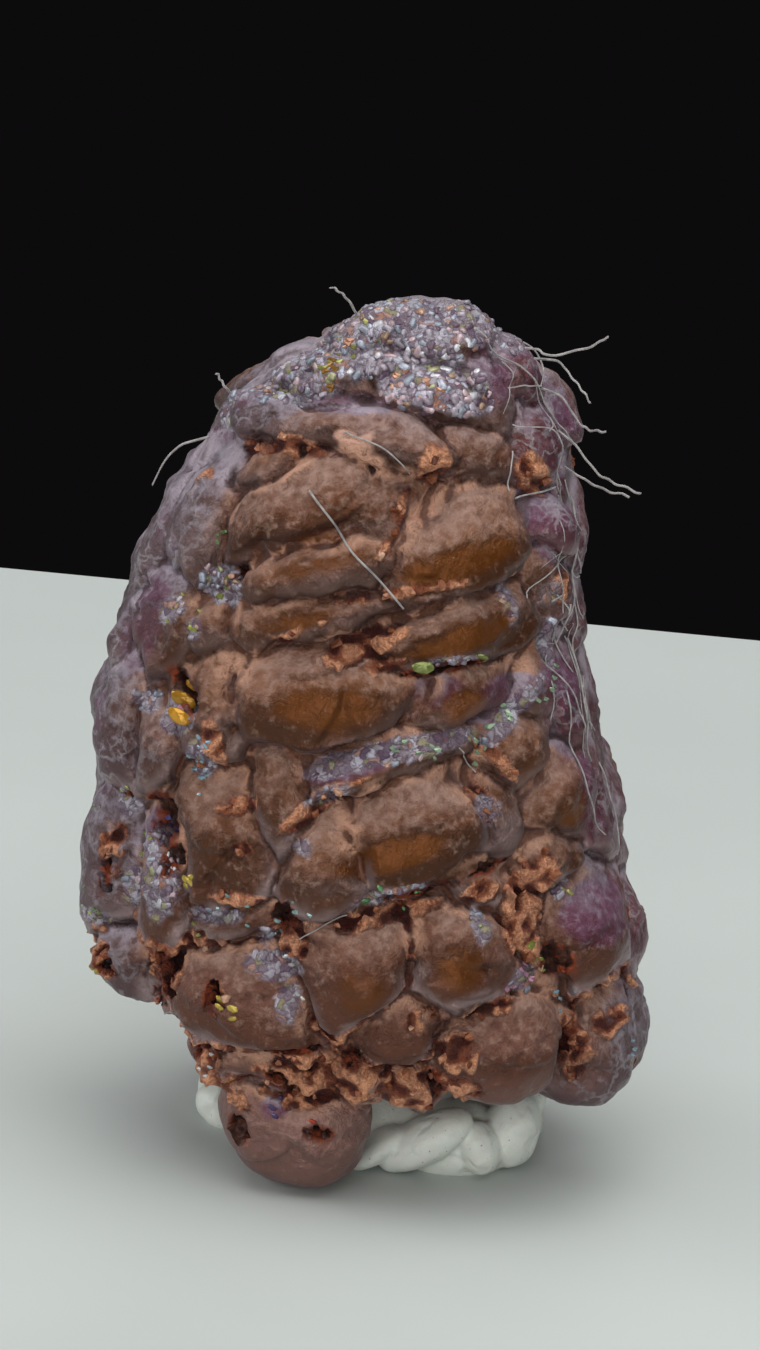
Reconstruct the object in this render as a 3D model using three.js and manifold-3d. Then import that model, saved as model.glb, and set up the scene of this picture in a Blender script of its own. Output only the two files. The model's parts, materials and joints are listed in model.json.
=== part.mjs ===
// Native copper specimen: a heavy nodular lump of copper, about 35 mm tall, pressed into a
// kneaded pad of white mounting putty, with a few lint fibres caught on it.
// Millimetres, +Z up. The origin is on the table, under the middle of the whole object's box.
// The front faces -Y. Bearings go round the lump in degrees: 0 is the front, 90 is +X.
import * as THREE from "three";
import { mergeVertices } from "three/addons/utils/BufferGeometryUtils.js";
import Module from "manifold-3d";

const wasm = await Module();
wasm.setup();

// ---- driving dimensions ----

// The lump's outline: [height, centre x, half width, centre y, half depth].
const OUTLINE = [
  [0, 0.6, 7.6, -0.4, 6.8],
  [3, 0.5, 9.2, -0.3, 8.0],
  [6, -0.2, 10.6, 0, 8.8],
  [10, -0.8, 11.3, 0, 9.2],
  [14, -1.4, 10.8, 0, 8.8],
  [18, -2.1, 10.3, 0.1, 8.2],
  [22, -2.3, 9.3, 0.3, 7.6],
  [26, -1.9, 8.6, 0.6, 6.9],
  [29, -1.6, 7.6, 0.9, 6.0],
  [32, -0.9, 5.7, 1.1, 4.6],
  [34, -0.4, 3.6, 1.2, 2.9],
  [35.2, -0.4, 1.6, 1.2, 1.4],
];

// The solid heart that the lobes grow from: [x, y, height, half width, half depth, half height].
const TRUNK = [
  [-0.2, 0, 7.6, 9.0, 7.4, 4.8],
  [-1.0, 0, 12, 9.3, 7.6, 6.0],
  [-2.0, 0.1, 18, 8.5, 7.0, 6.0],
  [-2.3, 0.5, 24, 7.1, 5.9, 6.0],
  [-1.5, 1.0, 29, 5.5, 4.6, 4.6],
];

// Lobes: [name, bearing, height, half length, half height, tilt, proud].
// Tilt turns the long side up to the right; proud lifts the crest above the outline.
const FRONT_LOBES = [
  ["crown", -15, 34.2, 3.0, 1.8, 8, 0.1],
  ["crown_left", -58, 31.6, 3.3, 1.6, 38, 0],
  ["crown_knob", 64, 33.1, 1.5, 1.5, 5, 0.3],
  ["crown_bead", 31, 32.5, 0.8, 1.3, 5, 0.3],
  ["crust_front", 0, 32.7, 2.6, 1.6, -10, 0],
  ["brow", -29, 30.8, 3.6, 1.1, 0, 0.3],
  ["belly_top", -33, 28.8, 2.6, 1.2, 16, 0.1],
  ["belly_main", -16, 27.6, 3.4, 1.7, 26, 0.2],
  ["belly_lower", -20, 25.7, 2.6, 1.3, 20, 0.4],
  ["cheek", 24, 29.8, 1.5, 1.5, 5, 0.2],
  ["side_left", -56, 26.8, 1.6, 2.6, 14, 0.1],
  ["neck_right", 58, 31.0, 1.4, 1.5, 5, 0.1],
  ["shoulder_right", 56, 27.2, 1.5, 1.5, 5, 0.3],
  ["shell", 21, 26.7, 2.8, 1.8, 18, 0.6],
  ["shell_right", 52, 24.9, 1.2, 1.4, 5, 0],
  ["flank_left", -60, 22.7, 1.6, 2.3, 5, 0.1],
  ["flank_upper", -76, 25.5, 1.4, 2.5, -5, 0.3],
  ["knee_left", -73, 20.5, 1.1, 1.7, 5, 0],
  ["bulge_left", -66, 17.4, 1.6, 2.5, 5, 0.6],
  ["bulge_left_inner", -47, 17.4, 1.1, 1.8, 5, 0],
  ["band_left", -10, 23.7, 2.8, 1.1, 20, 0.1],
  ["band_end", -32, 22.9, 1.5, 1.5, 20, 0],
  ["band_right", 24, 23.7, 2.9, 1.3, 18, 0.5],
  ["crumb_ridge", 2, 22.6, 2.2, 0.9, 26, 0],
  ["big_belly", -8, 20.8, 3.3, 1.9, 12, 0.4],
  ["belly_right", 26, 20.9, 2.3, 1.6, 18, 0.2],
  ["belly_edge", 48, 21.0, 1.3, 1.5, 26, 0],
  ["column_upper", -31, 19.9, 1.5, 2.6, 5, 0],
  ["flank_right", 64, 20.6, 1.1, 2.3, 5, 0],
  ["sash", 9, 18.2, 3.1, 1.1, 18, 0.1],
  ["sash_left", -16, 16.5, 1.4, 1.9, 5, 0],
  ["column_lower", -31, 14.8, 1.8, 2.4, 5, 0.1],
  ["loaf", 13, 15.8, 2.8, 1.6, 20, 0.7],
  ["loaf_left", -6, 14.4, 1.5, 1.8, 5, 0.5],
  ["loaf_end", 30, 16.7, 1.1, 1.5, 36, 0.2],
  ["fold_inner", 40, 19.0, 1.6, 1.8, 48, 0.3],
  ["fold_outer", 54, 17.0, 1.7, 1.9, 45, 0.5],
  ["rib_right", 72, 16.4, 1.1, 2.6, 5, 0.1],
  ["knob_right", 46, 14.9, 1.3, 1.1, 25, 0],
  ["side_low", 92, 14.0, 2.0, 1.8, 20, -0.1],
  ["side_middle", 88, 19.0, 1.8, 2.2, -15, -0.2],
  ["side_high", 86, 23.6, 2.1, 1.7, 10, -0.2],
  ["side_neck", 84, 27.8, 1.9, 2.0, -20, -0.1],
  ["fist_right", 58, 11.6, 2.1, 2.2, 5, 0.5],
  ["fist_back", 84, 10.6, 1.7, 1.9, 5, 0.2],
  ["foot_right", 61, 6.4, 2.1, 2.3, 5, 0.8],
  ["foot_back", 84, 6.4, 1.6, 2.0, 5, 0.5],
  ["round_left", 0, 10.6, 2.1, 2.3, 5, 0.6],
  ["round_right", 20, 11.4, 2.0, 2.4, 5, 0.6],
  ["round_low", 8, 8.1, 1.7, 1.4, 15, 0.4],
  ["ball_right", 30, 7.3, 2.5, 2.3, 5, 0.8],
  ["ball_left", -26, 7.7, 3.0, 2.0, 0, 0.3],
  ["roll_left", -25, 5.1, 2.5, 1.4, 0, 0.1],
  ["foot_front", -25, 2.35, 2.8, 2.7, 5, 0.8],
  ["wall_left", -71, 11.6, 1.6, 3.7, 5, 0.4],
  ["wall_inner", -47, 11.9, 1.6, 2.5, 5, 0],
  ["wall_notch", -27, 11.4, 1.5, 1.6, 5, -0.5],
  ["heel_left", -66, 8.3, 1.6, 1.6, 5, 0.1],
  ["heel_middle", -44, 8.1, 1.5, 1.6, 5, -0.2],
  ["heel_low", -42, 5.3, 1.5, 1.5, 5, 0],
  ["crumbs_low", -6, 5.7, 2.0, 1.4, 5, -0.2],
  ["crumbs_right", 10, 5.7, 1.8, 1.4, 5, -0.4],
  ["crumbs_loaf", 25, 13.8, 1.8, 1.3, 5, 0],
  ["crevice_upper", 38, 12.6, 1.3, 1.9, 5, -0.5],
  ["crevice_lower", 41, 9.3, 1.2, 1.8, 5, -0.4],
];

// The hidden half grows in staggered rows: [height, first bearing, last bearing, lobes].
const BACK_ROWS = [
  [6.6, 114, 246, 4],
  [10.4, 108, 272, 5],
  [14.4, 112, 266, 5],
  [18.6, 107, 268, 5],
  [22.8, 112, 262, 5],
  [27.0, 108, 264, 4],
  [30.6, 128, 258, 3],
];
const BACK_LOBE = { length: 3.0, height: 2.5, proud: 0.1 };

// Pits: [name, bearing, height, half length, half height, tilt, depth].
const PITS = [
  ["pinhole_black", -35, 24.7, 0.4, 0.35, -15, 1.4],
  ["slot_gold", -42, 19.8, 1.1, 0.5, -40, 1.5],
  ["cave_left", -46, 14.6, 0.7, 1.1, 5, 1.5],
  ["heel_hole", -65, 8.0, 0.7, 0.6, 5, 1.2],
  ["heel_gap", -46, 8.4, 0.6, 1.2, 5, 1.4],
  ["ball_hole", -31, 8.3, 0.5, 0.7, 5, 1.4],
  ["ball_notch", -15, 12.0, 0.6, 0.7, 5, 1.4],
  ["roll_hole", -21, 5.2, 0.5, 0.4, -30, 1.2],
  ["foot_hole_left", -34, 2.9, 0.6, 0.7, 15, 1.2],
  ["foot_hole_middle", -14, 3.2, 0.6, 0.35, -10, 1.1],
  ["hollow_right", 43, 10.6, 0.9, 0.6, -35, 1.2],
  ["hollow_neck", 50, 28.8, 0.7, 0.9, 15, 1.0],
  ["back_hole_low", 150, 10.2, 0.7, 0.6, 20, 1.6],
  ["back_hole_high", 205, 22.1, 0.8, 0.5, -15, 1.6],
];

const OVERLAP = 1.16; // lobes are this much larger than the part of them that shows
const DEPTH_SHARE = 0.85; // a lobe's depth, as a share of its smaller half size

// The skin is drawn over the lobes from a short upright line inside the trunk.
const SKIN = { detail: 17, y: -1.2, bottom: 8.5, top: 26.5, leanPerMm: -0.09 };
const HAMMERING = { size: 0.09, pitch: 2.3 }; // shallow unevenness over every lobe

// Putty pad: [x, y, half width, half depth, height], each a pinched knuckle of it.
const PUTTY_KNUCKLES = [
  [0.2, 1.2, 6.0, 4.6, 3.6],
  [-5.0, 2.6, 1.9, 2.3, 2.7],
  [0.4, -3.4, 1.5, 1.5, 2.2],
  [2.2, -3.0, 1.7, 1.8, 2.7],
  [3.9, -1.9, 1.3, 2.0, 2.9],
  [5.4, 0.1, 1.8, 2.1, 3.3],
  [5.0, 2.8, 2.1, 2.1, 3.0],
  [2.0, 4.8, 2.4, 1.8, 2.7],
  [-2.4, 4.8, 2.4, 1.8, 2.8],
];
const CLEARANCE = 0.3; // between the copper and what it is pressed into or carries
const TABLE_CLEARANCE = 0.05;

// Lint fibres that stand clear of the lump, root first: points [x, y, height].
const FIBRE_DIAMETER = 0.14;
const FIBRE_SIDES = 5;
const FIBRE_STEPS = 8;
const FIBRES = {
  lint_fibre_1: [[3.2, -1.0, 33.5], [3.7, -1.8, 33.7], [4.2, -2.1, 33.6], [5.6, -2.2, 34.1], [6.3, -2.2, 34.6]],
  lint_fibre_2: [[3.6, -0.6, 33.0], [4.5, -1.4, 33.2], [5.0, -1.7, 32.8], [5.5, -1.8, 32.3], [5.9, -1.8, 31.8]],
  lint_fibre_3: [[4.0, -0.8, 31.9], [4.8, -1.5, 31.8], [5.5, -1.8, 31.0], [6.0, -1.8, 30.7], [6.6, -1.8, 30.7]],
  lint_fibre_4: [[4.8, -0.6, 30.2], [5.5, -1.3, 29.9], [6.4, -1.6, 29.0], [7.2, -1.6, 28.6], [8.2, -1.6, 28.3]],
  lint_fibre_5: [[5.2, 0.0, 28.6], [6.0, -0.6, 28.35], [6.9, -1.0, 28.1], [7.8, -1.1, 28.0]],
  lint_fibre_6: [[-3.1, 0.2, 33.4], [-3.7, -0.2, 34.4], [-4.1, -0.3, 34.8], [-4.5, -0.3, 35.0]],
  lint_fibre_7: [[-7.4, 0.4, 29.6], [-8.1, -0.1, 30.4], [-8.4, -0.2, 30.8], [-8.6, -0.2, 31.1]],
  lint_fibre_8: [[-8.6, 0.2, 28.4], [-9.7, 0, 28.0], [-10.3, 0, 27.3], [-10.7, 0, 26.3]],
};

// ---- materials ----

const copper = new THREE.MeshStandardMaterial({ color: 0x6e4430, roughness: 0.42, metalness: 0.9 });
const putty = new THREE.MeshStandardMaterial({ color: 0xd9dcd6, roughness: 0.7, metalness: 0 });
const lint = new THREE.MeshStandardMaterial({ color: 0xb9b1a8, roughness: 0.8, metalness: 0 });

// ---- helpers ----

// A closed geometry as a solid for joining and cutting.
function solidOf(geometry) {
  const bare = new THREE.BufferGeometry();
  bare.setAttribute("position", geometry.getAttribute("position"));
  bare.setIndex(geometry.index);
  const merged = mergeVertices(bare, 1e-5);
  const vertProperties = merged.getAttribute("position").array;
  const triVerts = new Uint32Array(merged.index.array);
  return new wasm.Manifold(new wasm.Mesh({ numProp: 3, vertProperties, triVerts }));
}

// A solid as a geometry to show.
function geometryOf(solid) {
  const { vertProperties, triVerts } = solid.getMesh();
  const geometry = new THREE.BufferGeometry();
  geometry.setAttribute("position", new THREE.BufferAttribute(vertProperties, 3));
  geometry.setIndex(new THREE.BufferAttribute(triVerts, 1));
  geometry.computeVertexNormals();
  return geometry;
}

// The outline at a height, between its two nearest rows.
function sectionAt(height) {
  const last = OUTLINE.length - 1;
  const above = OUTLINE.findIndex((row) => row[0] >= height);
  const upper = above < 0 ? last : Math.max(above, 1);
  const [low, high] = [OUTLINE[upper - 1], OUTLINE[upper]];
  const share = THREE.MathUtils.clamp((height - low[0]) / (high[0] - low[0]), 0, 1);
  const [x, width, y, depth] = [1, 2, 3, 4].map((i) => THREE.MathUtils.lerp(low[i], high[i], share));
  return { x, y, width, depth };
}

function outlinePoint(bearing, height) {
  const { x, y, width, depth } = sectionAt(height);
  const angle = THREE.MathUtils.degToRad(bearing);
  return new THREE.Vector3(x + width * Math.sin(angle), y - depth * Math.cos(angle), height);
}

// Right, up and outward directions of the outline, turned by tilt about outward.
function facing(bearing, height, tilt) {
  const right = outlinePoint(bearing + 1, height).sub(outlinePoint(bearing - 1, height)).normalize();
  const up = outlinePoint(bearing, height + 1).sub(outlinePoint(bearing, height - 1));
  const out = right.clone().cross(up).normalize();
  const turn = new THREE.Quaternion().setFromAxisAngle(out, -THREE.MathUtils.degToRad(tilt));
  right.applyQuaternion(turn.invert());
  return { right, up: out.clone().cross(right), out };
}

// An ellipsoid with its half sizes along three directions.
function ellipsoid(centre, { right, up, out }, half) {
  const axes = [right, up, out].map((axis, i) => axis.clone().divideScalar(half[i]));
  return { centre, axes, frame: new THREE.Matrix4().makeBasis(right, up, out).setPosition(centre), half };
}

function ellipsoidSolid({ frame, half }, detail) {
  const geometry = new THREE.IcosahedronGeometry(1, detail);
  return solidOf(geometry.scale(...half).applyMatrix4(frame));
}

const UPRIGHT = {
  right: new THREE.Vector3(1, 0, 0),
  up: new THREE.Vector3(0, 1, 0),
  out: new THREE.Vector3(0, 0, 1),
};

// A lobe of the lump, sunk so that its crest stands proud of the outline.
function lobe([, bearing, height, halfLength, halfHeight, tilt, proud]) {
  const depth = DEPTH_SHARE * Math.min(halfLength, halfHeight) * OVERLAP;
  const face = facing(bearing, height, tilt);
  const centre = outlinePoint(bearing, height).addScaledVector(face.out, proud - depth);
  return ellipsoid(centre, face, [halfLength * OVERLAP, halfHeight * OVERLAP, depth]);
}

// A repeatable number from 0 to 1 for each seed.
function vary(seed) {
  const value = Math.sin(seed * 12.9898) * 43758.5453;
  return value - Math.floor(value);
}

function backLobes() {
  const rows = [];
  BACK_ROWS.forEach(([height, first, last, count], row) => {
    for (let i = 0; i < count; i++) {
      const seed = row * 17 + i * 5 + 1;
      const bearing = first + ((last - first) * (i + 0.3 * (vary(seed) - 0.5))) / (count - 1);
      rows.push([
        `back_${row}_${i}`,
        bearing,
        height + 2.6 * (vary(seed + 1) - 0.5),
        BACK_LOBE.length * (0.7 + 0.6 * vary(seed + 2)) * (height > 28 ? 0.8 : 1),
        BACK_LOBE.height * (0.75 + 0.4 * vary(seed + 3)) * (height > 28 ? 0.8 : 1),
        70 * (vary(seed + 4) - 0.5),
        BACK_LOBE.proud + 0.7 * (vary(seed + 5) - 0.5),
      ]);
    }
  });
  return rows;
}

function pit([, bearing, height, halfLength, halfHeight, tilt, depth]) {
  const face = facing(bearing, height, tilt);
  const half = [halfLength, halfHeight, depth];
  return ellipsoidSolid(ellipsoid(outlinePoint(bearing, height), face, half), 1);
}

// Everything under a height, for cutting away.
function slabBelow(height) {
  return solidOf(new THREE.BoxGeometry(60, 60, 20).translate(0, 0, height - 10));
}

// How far along a ray an ellipsoid is left behind, or nothing where the ray misses it.
function leaving({ centre, axes }, start, direction) {
  const offset = start.clone().sub(centre);
  const from = new THREE.Vector3(...axes.map((axis) => axis.dot(offset)));
  const step = new THREE.Vector3(...axes.map((axis) => axis.dot(direction)));
  const [a, b, c] = [step.lengthSq(), from.dot(step), from.lengthSq() - 1];
  const root = b * b - a * c;
  return root < 0 ? null : (Math.sqrt(root) - b) / a;
}

function unevenness({ x, y, z }) {
  const p = HAMMERING.pitch;
  const wave = Math.sin(x * p + 1.3 * Math.sin(z * 0.9 * p)) * Math.sin(z * 0.8 * p + Math.sin(y * p));
  return HAMMERING.size * (wave + Math.sin(y * 1.1 * p + 1.7 * Math.sin(x * 0.7 * p)));
}

// Where the ray in a direction leaves the last of the ellipsoids, and which one that is.
function surfaceAlong(direction, ellipsoids) {
  const height = THREE.MathUtils.lerp(SKIN.bottom, SKIN.top, (direction.z + 1) / 2);
  const start = new THREE.Vector3(SKIN.leanPerMm * (height - SKIN.bottom), SKIN.y, height);
  let [reach, owner] = [-Infinity, -1];
  ellipsoids.forEach((one, index) => {
    const r = leaving(one, start, direction);
    if (r !== null && r > reach) [reach, owner] = [r, index];
  });
  return { owner, point: start.addScaledVector(direction, reach) };
}

// The direction between two others where the surface passes from one ellipsoid to another.
function creaseBetween(from, to, owner, ellipsoids) {
  let [near, far] = [0, 1];
  const direction = new THREE.Vector3();
  for (let i = 0; i < 10; i++) {
    const middle = (near + far) / 2;
    direction.lerpVectors(from, to, middle).normalize();
    if (surfaceAlong(direction, ellipsoids).owner === owner) near = middle;
    else far = middle;
  }
  return near;
}

// One closed skin over all the ellipsoids, its vertices drawn onto the creases between them.
function skinOver(ellipsoids) {
  const ball = new THREE.IcosahedronGeometry(1, SKIN.detail);
  ball.deleteAttribute("normal");
  ball.deleteAttribute("uv");
  const skin = mergeVertices(ball, 1e-5);
  const position = skin.getAttribute("position");
  const rays = Array.from({ length: position.count }, (_, i) =>
    new THREE.Vector3().fromBufferAttribute(position, i),
  );
  const owners = rays.map((ray) => surfaceAlong(ray, ellipsoids).owner);
  const nearest = rays.map((ray) => ({ share: 0.5, ray }));
  const index = skin.index.array;
  for (let corner = 0; corner < index.length; corner++) {
    const i = index[corner];
    const j = index[corner % 3 === 2 ? corner - 2 : corner + 1];
    if (i > j || owners[i] === owners[j]) continue;
    const share = creaseBetween(rays[i], rays[j], owners[i], ellipsoids);
    if (share < nearest[i].share) {
      nearest[i] = { share, ray: rays[i].clone().lerp(rays[j], share).normalize() };
    }
    if (1 - share < nearest[j].share) {
      nearest[j] = { share: 1 - share, ray: rays[i].clone().lerp(rays[j], share).normalize() };
    }
  }
  nearest.forEach(({ ray }, i) => {
    const { point } = surfaceAlong(ray, ellipsoids);
    point.addScaledVector(ray, unevenness(point));
    position.setXYZ(i, point.x, point.y, point.z);
  });
  return skin;
}

// ---- the copper ----

const trunk = TRUNK.map(([x, y, height, width, depth, tall]) =>
  ellipsoid(new THREE.Vector3(x, y, height), UPRIGHT, [width, depth, tall]),
);
const copperSkin = skinOver([...trunk, ...FRONT_LOBES.map(lobe), ...backLobes().map(lobe)]);
const tableTop = slabBelow(TABLE_CLEARANCE);
const copperBody = PITS.map(pit).reduce((body, hole) => body.subtract(hole), solidOf(copperSkin));

// The skin a little larger: it presses its own hollow into the putty and trims the lint.
function swollen(skin, by) {
  const larger = skin.clone();
  larger.computeVertexNormals();
  const [position, normal] = [larger.getAttribute("position"), larger.getAttribute("normal")];
  const [point, outward] = [new THREE.Vector3(), new THREE.Vector3()];
  for (let i = 0; i < position.count; i++) {
    point.fromBufferAttribute(position, i).addScaledVector(outward.fromBufferAttribute(normal, i), by);
    position.setXYZ(i, point.x, point.y, point.z);
  }
  larger.deleteAttribute("normal");
  return larger;
}
const press = solidOf(swollen(copperSkin, CLEARANCE));

// ---- the putty ----

const knuckles = PUTTY_KNUCKLES.map(([x, y, width, depth, tall]) =>
  ellipsoidSolid(ellipsoid(new THREE.Vector3(x, y, 0), UPRIGHT, [width, depth, tall]), width > 4 ? 2 : 1),
);
const kneaded = knuckles.reduce((pad, knuckle) => pad.add(knuckle));
const puttyPad = kneaded.subtract(slabBelow(0)).subtract(press);

// ---- the lint ----

function fibre(points) {
  const path = new THREE.CatmullRomCurve3(points.map((p) => new THREE.Vector3(...p)));
  const section = new THREE.Shape();
  for (let i = 0; i < FIBRE_SIDES; i++) {
    const angle = (2 * Math.PI * i) / FIBRE_SIDES;
    const [x, y] = [(FIBRE_DIAMETER / 2) * Math.cos(angle), (FIBRE_DIAMETER / 2) * Math.sin(angle)];
    if (i) section.lineTo(x, y);
    else section.moveTo(x, y);
  }
  return new THREE.ExtrudeGeometry(section, { extrudePath: path, steps: FIBRE_STEPS });
}

// ---- assembly ----

function part(name, geometry, material) {
  const mesh = new THREE.Mesh(geometry, material);
  mesh.name = name;
  return mesh;
}

const specimen = new THREE.Group();
specimen.name = "native_copper_specimen";
specimen.add(part("copper_mass", geometryOf(copperBody.subtract(tableTop)), copper));
specimen.add(part("mounting_putty", geometryOf(puttyPad), putty));
for (const [name, points] of Object.entries(FIBRES)) {
  specimen.add(part(name, geometryOf(solidOf(fibre(points)).subtract(press)), lint));
}

const box = new THREE.Box3().setFromObject(specimen);
const middle = box.getCenter(new THREE.Vector3());
specimen.position.set(-middle.x, -middle.y, -box.min.z);

export default specimen;
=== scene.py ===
# Native copper specimen: a nodular lump of copper pressed into a pad of white putty.
# The lump is grown from lobes round one solid heart, then hammered, pitted and encrusted.
# Tables are in millimetres from the middle of the lump's foot; the pieces are in metres.
# Bearings go round the lump in degrees: 0 is the front (-Y) and 90 is +X.
import json
import math

import bpy
import numpy as np
from mathutils import Matrix, Vector
from mathutils.bvhtree import BVHTree

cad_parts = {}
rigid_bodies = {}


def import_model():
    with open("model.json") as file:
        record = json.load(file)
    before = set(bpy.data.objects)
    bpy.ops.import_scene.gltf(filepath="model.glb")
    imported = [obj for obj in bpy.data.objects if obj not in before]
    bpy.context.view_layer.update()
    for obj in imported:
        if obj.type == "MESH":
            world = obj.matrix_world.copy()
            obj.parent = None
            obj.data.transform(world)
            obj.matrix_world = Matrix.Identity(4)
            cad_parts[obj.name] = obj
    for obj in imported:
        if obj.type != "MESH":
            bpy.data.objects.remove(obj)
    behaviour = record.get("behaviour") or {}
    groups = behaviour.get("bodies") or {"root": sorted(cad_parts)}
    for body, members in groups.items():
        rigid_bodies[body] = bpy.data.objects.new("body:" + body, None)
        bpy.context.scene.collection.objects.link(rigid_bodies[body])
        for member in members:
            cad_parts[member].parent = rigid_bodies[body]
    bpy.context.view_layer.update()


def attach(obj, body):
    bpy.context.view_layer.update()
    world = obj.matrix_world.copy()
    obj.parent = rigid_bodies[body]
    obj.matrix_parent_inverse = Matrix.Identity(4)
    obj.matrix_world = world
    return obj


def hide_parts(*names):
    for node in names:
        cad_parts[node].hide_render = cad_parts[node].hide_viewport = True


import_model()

MM = 0.001
SHIFT = np.array([0.841, 0.2435, 0.0])  # from the lump's own foot to the middle of the base
LUMP_VOXEL, PUTTY_VOXEL, SEAT_VOXEL = 0.125, 0.1, 0.2
LUMP_TRIANGLES, PUTTY_TRIANGLES = 192000, 90000  # the most that thinning leaves
FAR = 9.0  # further out than any lobe or pit reaches, in its own half sizes
random = np.random.default_rng(29)

# ---- the lump ----

# Outline: height, centre x, half width, centre y, half depth.
OUTLINE = np.array([
    [0, 0.6, 7.6, -0.4, 6.8],
    [3, 0.5, 9.2, -0.3, 8.0],
    [6, -0.2, 10.6, 0, 8.8],
    [10, -0.8, 11.3, 0, 9.2],
    [14, -1.4, 10.8, 0, 8.8],
    [18, -2.1, 10.3, 0.1, 8.2],
    [22, -2.3, 9.3, 0.3, 7.6],
    [26, -1.9, 8.6, 0.6, 6.9],
    [29, -1.6, 7.6, 0.9, 6.0],
    [32, -0.9, 5.7, 1.1, 4.6],
    [34, -0.4, 3.6, 1.2, 2.9],
    [35.2, -0.4, 1.6, 1.2, 1.4],
])

# Heart: x, y, height, half width, half depth, half height.
HEART = [
    (-0.2, 0, 7.6, 9.0, 7.4, 4.8),
    (-1.0, 0, 12, 9.3, 7.6, 6.0),
    (-2.0, 0.1, 18, 8.5, 7.0, 6.0),
    (-2.3, 0.5, 24, 7.1, 5.9, 6.0),
    (-1.5, 1.0, 29, 5.5, 4.6, 4.6),
]

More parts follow.
